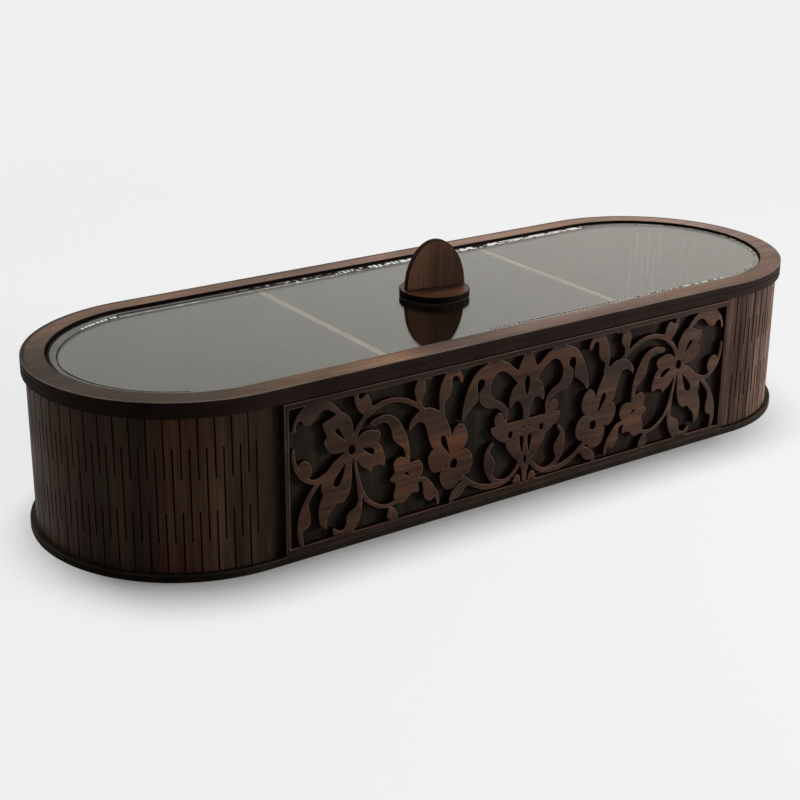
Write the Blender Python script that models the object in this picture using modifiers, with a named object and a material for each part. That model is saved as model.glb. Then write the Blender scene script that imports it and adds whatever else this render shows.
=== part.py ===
"""Serving box with bent slit walls, a cut scroll panel on the front and a clear lift-off lid.

Units are metres. The origin is on the ground under the middle of the box, +X runs along its
length, -Y faces the scroll panel and +Z is up.
"""

import math

import bmesh
import bpy
from mathutils import Vector
from mathutils.geometry import delaunay_2d_cdt

# Sheet stock and fits
BOARD = 0.003
OVERLAY_BOARD = 0.002
CLEAR_SHEET = 0.002
JOINT_GAP = 0.0003
LID_CLEARANCE = 0.0005

# Rim, which the other outlines follow
RIM_LENGTH = 0.363
RIM_WIDTH = 0.1244
RIM_BAND = 0.0095
LEDGE_REACH = 0.0025
RIM_OVERHANG = 0.0017

# Side walls and the slits that let their ends bend
WALL_HEIGHT = 0.0601
HINGE_PITCHES = 31
SLIT_WIDTH = 0.0005
EDGE_SLIT_LENGTH = 0.0237
MIDDLE_SLIT_LENGTH = 0.0365

# Scroll panel and its frame
PANEL_LENGTH = 0.224
FRAME_RAIL = 0.0023
FRAME_STILE = 0.0018

# Knob
DISC_RADIUS = 0.015
BLADE_WIDTH = 0.027
BLADE_HEIGHT = 0.0208
BLADE_TURN = math.radians(-10.7)
KNOB_SHIFT = -0.001

# Roundness of the outlines
ARC_STEPS = 48
BLADE_STEPS = 30
DISC_SIDES = 64
OVAL_SIDES = 14
SHARP_EDGE = math.radians(30)
SCROLL_TURN_STEP = math.radians(22)
SCROLL_MOST_STEPS = 4

# The scrolls are drawn on a grid of cells that is stretched over the panel. A point is given as
# cells outward from the panel's middle and cells up from its lower edge; True marks a corner.
GRID_COLUMNS = 224
GRID_ROWS = 60

# Heights of the stacked pieces
BASE_TOP = BOARD
WALL_BOTTOM = BASE_TOP + JOINT_GAP
WALL_TOP = WALL_BOTTOM + WALL_HEIGHT
LEDGE_BOTTOM = WALL_TOP + JOINT_GAP
LEDGE_TOP = LEDGE_BOTTOM + BOARD
FRAME_BOTTOM = LEDGE_TOP + JOINT_GAP
LID_BOTTOM = LEDGE_TOP + JOINT_GAP
DISC_BOTTOM = LID_BOTTOM + CLEAR_SHEET + JOINT_GAP
BLADE_BOTTOM = DISC_BOTTOM + BOARD + JOINT_GAP

# Plan sizes worked out from the rim; the base runs out flush with the scroll panel's face
BASE_FLANGE = OVERLAY_BOARD + JOINT_GAP
WALL_LENGTH = RIM_LENGTH - 2 * RIM_OVERHANG
WALL_WIDTH = RIM_WIDTH - 2 * RIM_OVERHANG
BEND_RADIUS = WALL_WIDTH / 2
BEND_CENTRE = WALL_LENGTH / 2 - BEND_RADIUS
OPENING_LENGTH = RIM_LENGTH - 2 * RIM_BAND
OPENING_WIDTH = RIM_WIDTH - 2 * RIM_BAND
LEDGE_LENGTH = OPENING_LENGTH - 2 * LEDGE_REACH
LEDGE_OPEN_WIDTH = OPENING_WIDTH - 2 * LEDGE_REACH
COMPARTMENT = (WALL_LENGTH - 2 * BOARD - 2 * BOARD) / 3
DIVIDER_OFFSET = (COMPARTMENT + BOARD) / 2

# Flower by the panel's end: petals, stem and the eye and drops cut in them
FAR_PETAL_SHARES = (
    (82.6, 42.3), (82.6, 45.2), (83.4, 47.8), (84.8, 50.0), (86.8, 51.7), (88.5, 51.9),
    (90.5, 51.4), (93.0, 50.4), (96.1, 49.4, True), (95.4, 47.2), (94.7, 45.2), (93.9, 43.6, True),
    (95.3, 42.2), (95.0, 40.2), (93.4, 37.8), (90.8, 36.2), (87.0, 36.1), (83.5, 36.5),
)
NEAR_PETAL_SHARES = (
    (80.3, 40.3), (79.2, 41.3), (77.3, 42.1), (75.0, 42.1), (73.0, 41.6), (71.2, 41.0),
    (70.5, 39.6), (70.8, 38.0), (71.8, 36.4, True), (70.3, 35.0), (69.4, 33.0), (68.7, 30.8),
    (68.3, 28.3), (68.8, 25.9, True), (70.3, 27.0), (72.3, 27.2), (73.7, 26.9), (74.9, 24.9, True),
    (76.4, 26.4), (78.4, 27.8), (80.0, 29.6), (81.3, 31.6), (82.2, 33.4), (82.6, 37.0),
)
LONG_PETAL_SHARES = (
    (84.0, 36.5), (86.2, 35.8), (88.5, 34.6), (91.5, 32.6), (94.3, 29.9), (97.2, 28.3), (97.6, 27.0),
    (96.7, 25.3), (96.9, 23.0), (95.8, 20.9, True), (97.3, 18.0), (98.0, 15.0), (98.0, 12.0),
    (97.5, 9.5), (96.5, 7.6), (94.6, 6.5, True), (94.6, 8.5), (94.4, 10.5), (93.4, 12.3),
    (91.8, 13.9), (90.3, 15.9, True), (88.5, 15.6), (86.9, 16.1), (85.3, 17.5), (84.4, 19.5),
    (83.7, 22.0), (83.4, 25.0), (83.2, 29.0), (82.9, 32.4),
)
FAR_DROP_SHARES = (
    (90.7, 45.4), (89.8, 46.1), (88.7, 45.5), (87.5, 43.3), (86.4, 40.7, True), (88.5, 42.6), (90.1, 44.2),
)
NEAR_DROP_SHARES = (
    (78.9, 35.4, True), (76.4, 35.6), (74.5, 34.9), (73.3, 33.6), (73.4, 32.3), (74.6, 32.2), (76.3, 33.4),
)
LONG_DROP_SHARES = (
    (85.9, 31.6, True), (87.9, 29.5), (89.9, 27.3), (91.3, 25.2), (91.4, 23.5), (90.2, 22.6),
    (88.9, 23.2), (87.8, 24.9), (86.9, 27.5),
)
FAR_EYE_SHARES = (83.3, 36.2, 1.6, 2.1)
FAR_HUB_SHARES = (83.4, 36.3, 3.1, 3.6)

# Curls and buds by the panel's end
LOW_STEM_SHARES = (
    (82.2, 33.5, 1.2), (81.6, 29.5, 1.2), (81.1, 26.0, 1.4), (80.3, 22.5, 1.7), (79.2, 18.5, 1.9),
    (77.6, 15.2, 1.8), (75.6, 12.9, 1.7), (73.2, 11.0, 1.6), (70.4, 9.5, 1.5), (67.5, 8.9, 1.5),
    (64.8, 9.3, 1.7), (62.5, 10.0, 2.0),
)
DROP_STEM_SHARES = ((80.6, 22.5, 1.3), (80.0, 19.0, 1.6), (79.6, 15.0, 1.7), (79.7, 11.5, 2.0))
LOBED_LEAF_SHARES = (
    (80.6, 14.4), (81.4, 12.4), (83.0, 11.5), (84.7, 10.6), (85.8, 8.8), (85.9, 6.7), (86.9, 4.8),
    (88.6, 4.2), (90.2, 5.0), (91.5, 6.2, True), (92.1, 5.0), (91.4, 3.3), (90.0, 1.6), (87.0, 1.0),
    (84.0, 1.4), (82.2, 3.2), (80.5, 5.8), (79.3, 8.5), (78.8, 11.2), (78.9, 14.0), (79.6, 15.6),
)
SIDE_VINE_SHARES = (
    (94.8, 28.6, 2.0), (97.4, 27.4, 2.0), (100.0, 27.1, 1.8), (102.6, 28.1, 1.8), (105.0, 30.2, 1.8),
    (107.0, 33.2, 1.8), (108.2, 36.6, 1.6), (108.6, 39.6, 1.4), (108.5, 42.0, 1.0),
)
SIDE_BUD_SHARES = (
    (106.4, 35.3), (105.4, 36.1), (104.0, 36.3), (102.6, 35.8), (101.4, 34.4), (100.9, 32.5),
    (101.1, 30.6), (102.0, 28.9), (103.8, 29.0), (106.2, 32.2),
)
LOW_LEAF_SHARES = (
    (96.0, 26.6), (98.0, 25.0), (100.2, 22.4), (101.6, 20.3), (102.3, 18.5), (102.1, 16.3),
    (101.7, 14.2), (101.5, 12.2), (101.9, 10.4), (103.1, 9.1), (104.9, 8.5, True), (105.0, 6.3),
    (104.7, 4.0), (104.6, 1.4, True), (105.9, 1.4, True), (106.6, 4.0), (107.2, 7.0), (107.2, 10.5),
    (106.6, 14.4), (105.2, 18.2), (103.4, 21.3), (101.4, 24.0), (99.6, 26.2), (98.0, 28.2),
)
CORNER_SCROLL_SHARES = (
    (87.0, 50.6), (88.5, 53.1), (90.2, 55.2), (92.2, 56.8), (94.2, 57.8), (96.5, 59.0, True),
    (101.6, 59.0, True), (103.8, 57.3), (105.7, 55.8), (107.2, 53.8), (108.3, 51.5), (108.7, 49.4),
    (108.1, 48.3), (107.5, 49.0), (107.3, 50.6), (106.6, 52.0), (105.3, 52.5), (104.4, 51.6),
    (103.5, 50.4), (102.2, 49.9), (100.6, 50.4), (99.0, 51.9), (97.2, 53.8), (95.3, 54.7),
    (93.5, 54.3), (91.8, 53.3), (90.2, 51.8), (89.0, 50.0),
)
FOOT_BUD_SHARES = (
    (67.3, 8.6), (66.7, 7.6), (67.3, 5.4), (67.0, 3.8), (66.0, 2.7), (64.8, 2.2), (63.6, 1.4, True),
    (62.5, 1.4, True), (62.3, 3.5), (62.8, 5.4), (64.0, 7.1), (65.6, 8.4),
)
CROWN_BUD_SHARES = (
    (82.3, 58.6, True), (82.1, 56.0), (81.7, 54.0), (80.8, 51.8), (79.4, 50.0), (77.5, 48.6),
    (75.5, 48.4), (73.2, 50.2), (74.3, 52.0), (74.8, 54.0), (75.6, 55.8), (76.8, 56.7),
    (77.8, 56.4), (79.1, 55.5), (80.0, 55.8), (80.3, 56.8), (80.3, 58.6, True),
)
ARCH_VINE_SHARES = (
    (82.6, 38.5, 2.6), (81.7, 41.6, 2.2), (80.3, 44.3, 1.9), (78.3, 46.8, 1.9), (76.0, 48.8, 2.1),
    (73.3, 50.4, 2.2), (70.0, 51.5, 2.1), (66.5, 52.0, 2.0), (63.0, 51.7, 2.0), (59.7, 50.7, 2.0),
    (56.5, 49.1, 1.9), (53.5, 47.1, 1.9), (50.5, 44.8, 2.0),
)
HOOKED_LEAF_SHARES = (
    (75.0, 44.6), (73.8, 45.8), (71.5, 46.5), (69.0, 46.8), (66.7, 46.4), (64.5, 45.4), (62.7, 43.8),
    (61.2, 41.8), (59.9, 39.4), (58.7, 36.8), (57.8, 34.0), (57.1, 31.0), (56.9, 28.0), (56.9, 24.0, True),
    (58.9, 25.5, True), (59.1, 28.5), (59.7, 30.8), (61.2, 32.4), (63.1, 34.0), (64.6, 35.8),
    (65.2, 38.0), (65.6, 40.3), (66.5, 42.2), (67.9, 43.5), (69.7, 44.0), (71.4, 43.7), (73.3, 43.4),
)

# Small flower and its leaf
SMALL_FLOWER_SHARES = (
    (58.4, 26.3), (59.6, 27.4), (61.4, 27.9), (63.1, 27.6), (64.3, 26.2), (64.5, 24.3),
    (63.8, 22.1, True), (65.0, 20.8), (66.0, 19.6), (65.4, 18.6), (63.8, 17.9, True), (63.4, 16.2),
    (63.9, 14.3), (64.3, 12.3), (63.8, 10.6), (62.5, 9.2), (60.9, 8.4), (59.2, 8.6), (57.9, 9.9),
    (56.5, 11.1), (54.8, 11.6), (52.9, 11.3), (52.5, 12.8), (53.1, 14.8), (53.4, 16.2),
    (51.9, 17.5), (50.8, 19.5), (50.7, 21.7), (51.5, 23.6), (53.1, 24.6), (55.0, 24.7), (56.8, 24.4),
)
SMALL_FLOWER_CUT_SHARES = (
    (59.9, 20.3, True), (58.7, 21.0), (57.6, 20.4), (57.0, 18.6, True), (58.2, 19.7),
)
HANGING_LEAF_SHARES = (
    (54.8, 16.9), (52.3, 17.2), (50.0, 16.8), (47.9, 15.3), (46.1, 13.2), (44.6, 10.8), (43.3, 8.2),
    (42.6, 5.5), (42.9, 3.7), (43.7, 3.5), (44.2, 5.0), (44.8, 7.3, True), (45.8, 6.4), (47.1, 6.0),
    (48.5, 6.6), (49.7, 7.9), (50.4, 9.9), (50.4, 12.0), (50.7, 14.0), (51.8, 15.2), (54.4, 15.2),
)

# Large flower: round petals, trumpet leaf, bud and stem
ROUND_PETAL_SHARES = (
    ((44.2, 27.3), (46.8, 26.8), (48.1, 24.5), (48.1, 22.0), (47.3, 19.6), (45.8, 17.8),
     (44.0, 17.2), (42.3, 17.6), (40.6, 19.0, True), (37.0, 20.0), (38.0, 25.0), (41.0, 27.4)),
    ((41.2, 18.6, True), (42.3, 16.4), (42.4, 13.6), (41.4, 10.8), (39.6, 9.1), (37.4, 8.5),
     (35.3, 9.1), (33.8, 10.3), (32.7, 12.0), (33.0, 18.0), (37.0, 21.0)),
    ((33.3, 23.4, True), (31.2, 24.2), (29.0, 23.4), (27.3, 21.2), (26.7, 18.4), (27.1, 15.8),
     (28.4, 14.0), (30.2, 13.1), (33.0, 13.0), (36.0, 16.0), (36.5, 21.5)),
    ((36.8, 31.4), (35.8, 33.8), (33.8, 35.2), (31.6, 34.6), (30.1, 32.4), (29.3, 29.6),
     (29.7, 26.8), (31.2, 24.8), (33.4, 23.4), (36.4, 22.0), (38.5, 26.0)),
)
TRUMPET_SHARES = (
    (57.3, 37.6, True), (57.4, 39.4), (56.6, 41.3), (55.0, 43.1), (53.0, 44.5), (50.8, 45.2),
    (48.6, 45.3), (46.3, 44.7), (44.4, 43.5), (42.6, 42.3), (41.1, 41.2), (40.3, 39.3), (39.1, 37.0),
    (38.0, 34.6), (37.2, 32.0), (36.9, 28.0), (35.0, 22.0), (37.0, 20.5), (40.0, 22.0), (42.4, 24.9),
    (44.8, 26.4), (46.3, 28.0), (47.3, 30.0), (48.1, 32.3), (48.7, 34.8), (49.3, 37.2), (50.2, 39.0),
    (51.5, 40.1), (53.1, 40.4), (54.6, 39.9), (55.9, 38.6),
)
TRUMPET_DROP_SHARES = (
    (42.4, 30.6), (42.0, 31.8), (40.9, 32.1), (40.0, 30.8), (39.3, 28.4), (38.5, 25.5),
    (37.9, 23.3, True), (39.4, 25.2), (41.0, 27.4), (42.1, 29.2),
)
LARGE_EYE_SHARES = (35.9, 19.0, 1.7, 2.15)
CLIMBING_LEAF_SHARES = (
    (43.0, 41.5), (43.1, 44.5), (43.4, 47.5), (43.2, 50.8), (42.4, 53.8), (41.0, 56.3),
    (39.4, 58.6, True), (35.0, 58.6, True), (33.4, 56.9), (32.3, 55.0), (32.1, 53.4), (32.6, 52.4),
    (33.5, 52.8), (34.1, 54.1), (34.9, 55.3), (36.1, 55.6), (37.1, 54.9), (37.4, 53.4), (37.3, 51.5),
    (37.7, 49.5), (38.6, 47.7), (39.9, 46.4), (41.0, 45.4), (41.1, 43.8), (40.5, 41.5),
)
RAIL_BUD_SHARES = (
    (53.6, 47.0), (54.2, 50.0), (54.9, 52.5), (54.8, 54.8), (54.0, 56.8), (52.8, 58.6, True),
    (50.1, 58.6, True), (50.2, 56.3), (49.8, 54.8), (49.7, 53.3), (50.3, 51.5), (51.4, 50.3),
    (51.8, 48.6), (51.6, 46.4),
)
RAIL_BARB_SHARES = (
    (50.6, 58.6, True), (50.6, 56.4), (49.4, 57.1), (47.4, 56.8, True), (46.0, 58.6, True),
)
GROUND_VINE_SHARES = (
    (35.0, 14.2, 2.4), (32.2, 12.1, 2.2), (30.0, 10.6, 2.1), (27.5, 8.6, 1.9), (24.5, 6.7, 2.0),
    (21.5, 5.4, 2.2), (18.3, 4.6, 2.3), (15.0, 4.3, 2.2), (12.0, 4.5, 2.1), (9.3, 5.2, 2.0),
    (6.8, 6.5, 1.9), (4.8, 8.4, 1.8), (3.2, 10.4, 1.8), (1.6, 12.6, 2.0),
)
GROUND_LEAF_SHARES = (
    (29.3, 10.4), (31.5, 10.3), (33.8, 9.4), (35.6, 8.0), (37.0, 6.2), (37.8, 4.2), (37.7, 1.4, True),
    (36.5, 1.4, True), (36.2, 3.2), (34.3, 3.6), (32.4, 4.4), (31.1, 5.7), (30.3, 7.2), (29.0, 8.0),
)
HOOK_LEAF_SHARES = (
    (13.0, 5.0), (16.0, 5.6), (18.0, 7.4), (19.5, 9.9), (20.5, 12.4), (20.9, 15.0), (20.8, 17.4),
    (20.2, 19.8), (19.2, 21.6), (18.0, 22.8), (16.7, 23.3), (16.4, 22.4), (17.4, 21.3), (18.1, 20.0),
    (17.8, 18.6), (16.5, 16.9), (15.5, 15.0), (15.2, 13.0), (15.6, 11.2), (16.3, 9.9), (16.0, 8.6),
    (14.9, 7.4), (13.0, 6.4), (11.0, 6.0), (11.0, 4.6),
)

# Large scroll between the large flower and the middle
GREAT_SCROLL_SHARES = (
    (3.0, 50.2, True), (6.8, 52.9), (8.6, 54.6), (10.6, 56.1), (13.2, 57.3), (15.0, 58.6, True),
    (18.2, 58.6, True), (20.5, 57.2), (23.0, 56.3), (25.5, 54.7), (27.8, 52.0), (29.6, 48.6),
    (31.0, 44.6), (31.9, 41.0), (32.4, 37.8), (32.3, 36.0), (31.4, 36.2), (30.2, 38.0), (28.6, 39.8),
    (26.6, 41.4), (24.9, 42.6, True), (24.6, 46.0, True), (25.1, 48.6), (24.8, 50.8), (23.4, 51.6),
    (21.8, 50.9), (21.4, 49.4), (22.3, 47.6), (23.7, 46.3, True), (24.0, 44.6), (23.8, 42.2),
    (22.5, 40.4), (20.5, 38.9), (18.5, 38.3), (16.3, 38.0), (14.4, 37.2), (13.0, 36.0), (11.9, 34.6),
    (11.0, 32.8, True), (11.0, 29.6, True), (9.9, 29.6, True), (9.9, 31.6), (9.6, 33.5), (9.9, 35.8),
    (10.8, 37.6), (12.2, 39.2), (14.0, 40.4), (16.0, 41.4), (17.6, 43.0), (18.5, 45.5), (18.3, 48.2),
    (17.2, 50.6), (15.4, 52.3), (13.4, 52.8), (11.0, 52.0), (9.0, 50.5), (7.0, 48.6), (5.0, 46.2),
    (3.0, 45.0, True),
)
INNER_BUD_SHARES = (
    (11.5, 33.0), (12.2, 34.5), (13.6, 35.4), (15.1, 34.9), (16.2, 33.4), (16.2, 31.6), (15.4, 29.9),
    (14.0, 28.4), (11.0, 28.4), (10.6, 30.5),
)

# Middle of the panel; each outline runs down one side and is repeated mirrored on the other
CROWN_HALF_SHARES = (
    (0.0, 58.6, True), (1.5, 58.6, True), (2.6, 56.2), (3.9, 53.6), (4.9, 51.2, True), (3.4, 48.6, True),
    (4.8, 46.0, True), (6.7, 44.9), (7.9, 43.0), (8.8, 40.4), (9.0, 38.0), (8.7, 36.3, True), (8.0, 36.4),
    (7.2, 37.3), (6.2, 38.1), (5.0, 38.5), (3.8, 38.1), (2.8, 36.9), (2.0, 35.2), (1.6, 33.0),
    (1.3, 28.6, True), (0.0, 28.6, True),
)
CROWN_DROP_HALF_SHARES = (
    (0.0, 48.6), (1.0, 47.7), (1.45, 45.7), (1.1, 43.2), (0.0, 39.4, True),
)
SASH_HALF_SHARES = (
    (0.0, 29.8, True), (15.0, 29.9, True), (17.9, 29.6, True), (17.6, 27.6), (16.2, 25.7),
    (14.4, 24.0), (12.6, 22.7), (11.2, 22.0), (10.3, 21.7, True), (9.9, 19.8), (8.9, 18.0),
    (7.4, 16.1), (5.5, 14.0), (3.9, 12.4), (2.6, 10.8), (1.9, 9.0), (1.3, 6.5), (1.2, 1.4, True),
    (0.0, 1.4, True),
)
SASH_EYE_SHARES = (8.0, 24.7, 1.15, 1.55)
KNOT_EYE_SHARES = (1.7, 26.7, 0.75, 0.4)
STEM_SLOT_SHARES = (
    (3.25, 24.2, True), (3.15, 22.0), (2.85, 19.8), (2.3, 17.3), (1.75, 15.0, True), (1.35, 17.0),
    (1.0, 20.0), (0.9, 22.6, True), (1.7, 22.6), (2.6, 23.1),
)
STEM_DIAMOND_HALF_SHARES = ((0.0, 14.6, True), (0.95, 13.0), (0.55, 11.4), (0.0, 9.6, True))
FOOT_LEAF_SHARES = (
    (5.6, 1.4, True), (5.8, 3.7), (5.1, 5.7), (3.9, 6.4), (2.8, 5.8), (2.1, 4.4), (2.0, 1.4, True),
)

# Crossing outlines share a point within the first distance, and no border side is shorter than
# the second; both are in grid cells
MERGE_SHARE = 0.02
SHORTEST_SHARE = 0.2
INSIDE_TRIANGLES = 1


def clear_scene():
    """Remove every object of the scene."""
    for existing in list(bpy.data.objects):
        bpy.data.objects.remove(existing, do_unlink=True)


def make_material(name, colour, roughness, transmission=0.0):
    """Return a Principled material with the given colour and roughness."""
    material = bpy.data.materials.new(name)
    material.use_nodes = True
    shader = material.node_tree.nodes["Principled BSDF"]
    shader.inputs["Base Color"].default_value = (*colour, 1.0)
    shader.inputs["Roughness"].default_value = roughness
    shader.inputs["Metallic"].default_value = 0.0
    shader.inputs["Transmission Weight"].default_value = transmission
    return material


def place(collection, name, data, material, location=(0, 0, 0), rotation=(0, 0, 0)):
    """Link a new object with its own material to the collection."""
    data.materials.append(material)
    piece = bpy.data.objects.new(name, data)
    piece.location = location
    piece.rotation_euler = rotation
    collection.objects.link(piece)
    return piece


def sheet_curve(name, outlines, thickness):
    """Return a filled 2D curve of closed outlines, as thick as the sheet it is cut from."""
    curve = bpy.data.curves.new(name, "CURVE")
    curve.dimensions = "2D"
    curve.fill_mode = "BOTH"
    curve.extrude = thickness / 2
    for outline in outlines:
        spline = curve.splines.new("POLY")
        spline.points.add(len(outline) - 1)
        for point, (across, up) in zip(spline.points, outline):
            point.co = (across, up, 0.0, 1.0)
        spline.use_cyclic_u = True
    return curve


def round_ended(length, width):
    """Return a closed outline with two straight sides and two half-round ends."""
    radius = width / 2
    centre = length / 2 - radius
    outline = []
    for side in (1, -1):
        for step in range(ARC_STEPS + 1):
            angle = math.pi * (step / ARC_STEPS - 1 / 2)
            outline.append((side * (centre + radius * math.cos(angle)), side * radius * math.sin(angle)))
    return outline


def arc_point(distance):
    """Return the place and outward direction at a distance along the left bend of the wall."""
    angle = distance / BEND_RADIUS
    out = (-math.sin(angle), -math.cos(angle))
    return (-BEND_CENTRE + BEND_RADIUS * out[0], BEND_RADIUS * out[1])


def wall_stations():
    """Return the wall's upright edge lines from its front seam to its back seam.

    Each station is a place in plan, the heights of its points and what fills the way to the next
    station: a plain strip, a column slit at both edges, or a column slit in the middle.
    """
    plain = (0.0, WALL_HEIGHT)
    margin = (WALL_HEIGHT - MIDDLE_SLIT_LENGTH) / 2
    heights = {
        "edge slits": (0.0, EDGE_SLIT_LENGTH, WALL_HEIGHT - EDGE_SLIT_LENGTH, WALL_HEIGHT),
        "middle slit": (0.0, margin, WALL_HEIGHT - margin, WALL_HEIGHT),
    }
    bend_length = math.pi * BEND_RADIUS
    half_pitch = bend_length / HINGE_PITCHES / 2
    stations = [((-JOINT_GAP / 2, -BEND_RADIUS), plain, "strip"), (arc_point(0.0), plain, "strip")]
    for column in range(1, 2 * HINGE_PITCHES):
        kind = "middle slit" if column % 2 else "edge slits"
        middle = column * half_pitch
        stations.append((arc_point(middle - SLIT_WIDTH / 2), heights[kind], kind))
        stations.append((arc_point(middle + SLIT_WIDTH / 2), heights[kind], "strip"))
    stations.append((arc_point(bend_length), plain, "strip"))
    stations.append(((-JOINT_GAP / 2, BEND_RADIUS), plain, "strip"))
    return stations


def wall_mesh(name, side):
    """Return the outer surface of one wall half, slits left open; side is -1 left, 1 right."""
    surface = bmesh.new()
    stations = wall_stations()
    lines = []
    for (along, across), heights, _ in stations:
        lines.append([surface.verts.new((-side * along, across, height)) for height in heights])
    for (_, _, kind), here, beyond in zip(stations, lines, lines[1:]):
        if kind == "strip":
            surface.faces.new(here + beyond[::-1])
        elif kind == "edge slits":
            surface.faces.new((here[1], here[2], beyond[2], beyond[1]))
        else:
            surface.faces.new((here[0], here[1], beyond[1], beyond[0]))
            surface.faces.new((here[2], here[3], beyond[3], beyond[2]))
    if side > 0:
        bmesh.ops.reverse_faces(surface, faces=surface.faces)
    mesh = bpy.data.meshes.new(name)
    surface.to_mesh(mesh)
    surface.free()
    mesh.shade_smooth()
    mesh.set_sharp_from_angle(angle=SHARP_EDGE)
    return mesh


def tangents(points, index):
    """Return the arriving and leaving tangent of a closed outline at one of its points."""
    here = Vector(points[index][:2])
    before = Vector(points[index - 1][:2])
    after = Vector(points[(index + 1) % len(points)][:2])
    if len(points[index]) > 2:
        return here - before, after - here
    return (after - before) / 2, (after - before) / 2


def hermite(start, end, leaving, arriving, share):
    """Return a point at a share of the way along a cubic from start to end."""
    square = share * share
    cube = square * share
    return (start * (2 * cube - 3 * square + 1) + leaving * (cube - 2 * square + share)
            + end * (3 * square - 2 * cube) + arriving * (cube - square))


def step_count(leaving, arriving, chord):
    """Return how many straight steps a stretch needs for the angle that it turns through."""
    turn = leaving.angle(chord, 0.0) + chord.angle(arriving, 0.0)
    return max(1, min(SCROLL_MOST_STEPS, math.ceil(turn / SCROLL_TURN_STEP)))


def smooth_outline(points):
    """Return a closed outline through the points, round except at the marked corners."""
    outline = []
    for index, point in enumerate(points):
        following = (index + 1) % len(points)
        start = Vector(point[:2])
        end = Vector(points[following][:2])
        leaving = tangents(points, index)[1]
        arriving = tangents(points, following)[0]
        steps = step_count(leaving, arriving, end - start)
        outline.extend(hermite(start, end, leaving, arriving, step / steps) for step in range(steps))
    return outline


def ribbon_outline(path):
    """Return the outline of a vine whose points give its middle line and its width there."""
    count = len(path)
    left, right = [], []
    for index, (across, up, width) in enumerate(path):
        before = path[max(index - 1, 0)]
        after = path[min(index + 1, count - 1)]
        along = Vector((after[0] - before[0], after[1] - before[1])).normalized()
        aside = Vector((-along.y, along.x)) * width / 2
        middle = Vector((across, up))
        is_end = index in (0, count - 1)
        left.append((*(middle + aside), True) if is_end else tuple(middle + aside))
        right.append((*(middle - aside), True) if is_end else tuple(middle - aside))
    return smooth_outline(left + right[::-1])


def oval_outline(across, up, half_width, half_height):
    """Return an oval about a middle point."""
    turns = (2 * math.pi * side / OVAL_SIDES for side in range(OVAL_SIDES))
    return [Vector((across + half_width * math.cos(turn), up + half_height * math.sin(turn)))
            for turn in turns]


def mirrored(outline):
    """Return an outline mirrored about the panel's middle."""
    return [Vector((-point.x, point.y)) for point in reversed(outline)]


def both_halves(points):
    """Return the closed outline of a shape from its points down one side."""
    other = [(-point[0], *point[1:]) for point in reversed(points) if point[0] > 0]
    return smooth_outline(tuple(points) + tuple(other))


def box_outline(left, right, bottom, top):
    """Return an upright rectangle."""
    return [Vector(corner) for corner in ((left, bottom), (right, bottom), (right, top), (left, top))]


def frame_outlines():
    """Return the panel's two rails and two stiles in grid cells."""
    half = GRID_COLUMNS / 2
    stile = FRAME_STILE / PANEL_LENGTH * GRID_COLUMNS
    rail = FRAME_RAIL / WALL_HEIGHT * GRID_ROWS
    return [
        box_outline(-half, half, 0, rail),
        box_outline(-half, half, GRID_ROWS - rail, GRID_ROWS),
        box_outline(-half, stile - half, 0, GRID_ROWS),
        box_outline(half - stile, half, 0, GRID_ROWS),
    ]


def scroll_solids():
    """Return the outlines of all leaves, petals and vines in grid cells."""
    leaves = (
        FAR_PETAL_SHARES, NEAR_PETAL_SHARES, LONG_PETAL_SHARES, LOBED_LEAF_SHARES, SIDE_BUD_SHARES,
        LOW_LEAF_SHARES, CORNER_SCROLL_SHARES, FOOT_BUD_SHARES, CROWN_BUD_SHARES, HOOKED_LEAF_SHARES,
        SMALL_FLOWER_SHARES, HANGING_LEAF_SHARES, *ROUND_PETAL_SHARES, TRUMPET_SHARES,
        CLIMBING_LEAF_SHARES, RAIL_BUD_SHARES, RAIL_BARB_SHARES, GROUND_LEAF_SHARES,
        HOOK_LEAF_SHARES, GREAT_SCROLL_SHARES, INNER_BUD_SHARES, FOOT_LEAF_SHARES,
    )
    vines = (LOW_STEM_SHARES, DROP_STEM_SHARES, SIDE_VINE_SHARES, ARCH_VINE_SHARES, GROUND_VINE_SHARES)
    one_side = [smooth_outline(leaf) for leaf in leaves] + [ribbon_outline(vine) for vine in vines]
    one_side.append(oval_outline(*FAR_HUB_SHARES))
    middle = [both_halves(CROWN_HALF_SHARES), both_halves(SASH_HALF_SHARES)]
    return one_side + [mirrored(outline) for outline in one_side] + middle


def scroll_cuts():
    """Return the outlines of the eyes, drops and slots that are cut in the leaves."""
    drops = (
        FAR_DROP_SHARES, NEAR_DROP_SHARES, LONG_DROP_SHARES, SMALL_FLOWER_CUT_SHARES,
        TRUMPET_DROP_SHARES, STEM_SLOT_SHARES,
    )
    eyes = (FAR_EYE_SHARES, LARGE_EYE_SHARES, SASH_EYE_SHARES, KNOT_EYE_SHARES)
    one_side = [smooth_outline(drop) for drop in drops] + [oval_outline(*eye) for eye in eyes]
    middle = [both_halves(CROWN_DROP_HALF_SHARES), both_halves(STEM_DIAMOND_HALF_SHARES)]
    return one_side + [mirrored(outline) for outline in one_side] + middle


def turns_left(outline):
    """Return the outline running anticlockwise."""
    area = sum(here.cross(beyond) for here, beyond in zip(outline, outline[1:] + outline[:1]))
    return outline if area > 0 else outline[::-1]


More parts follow.
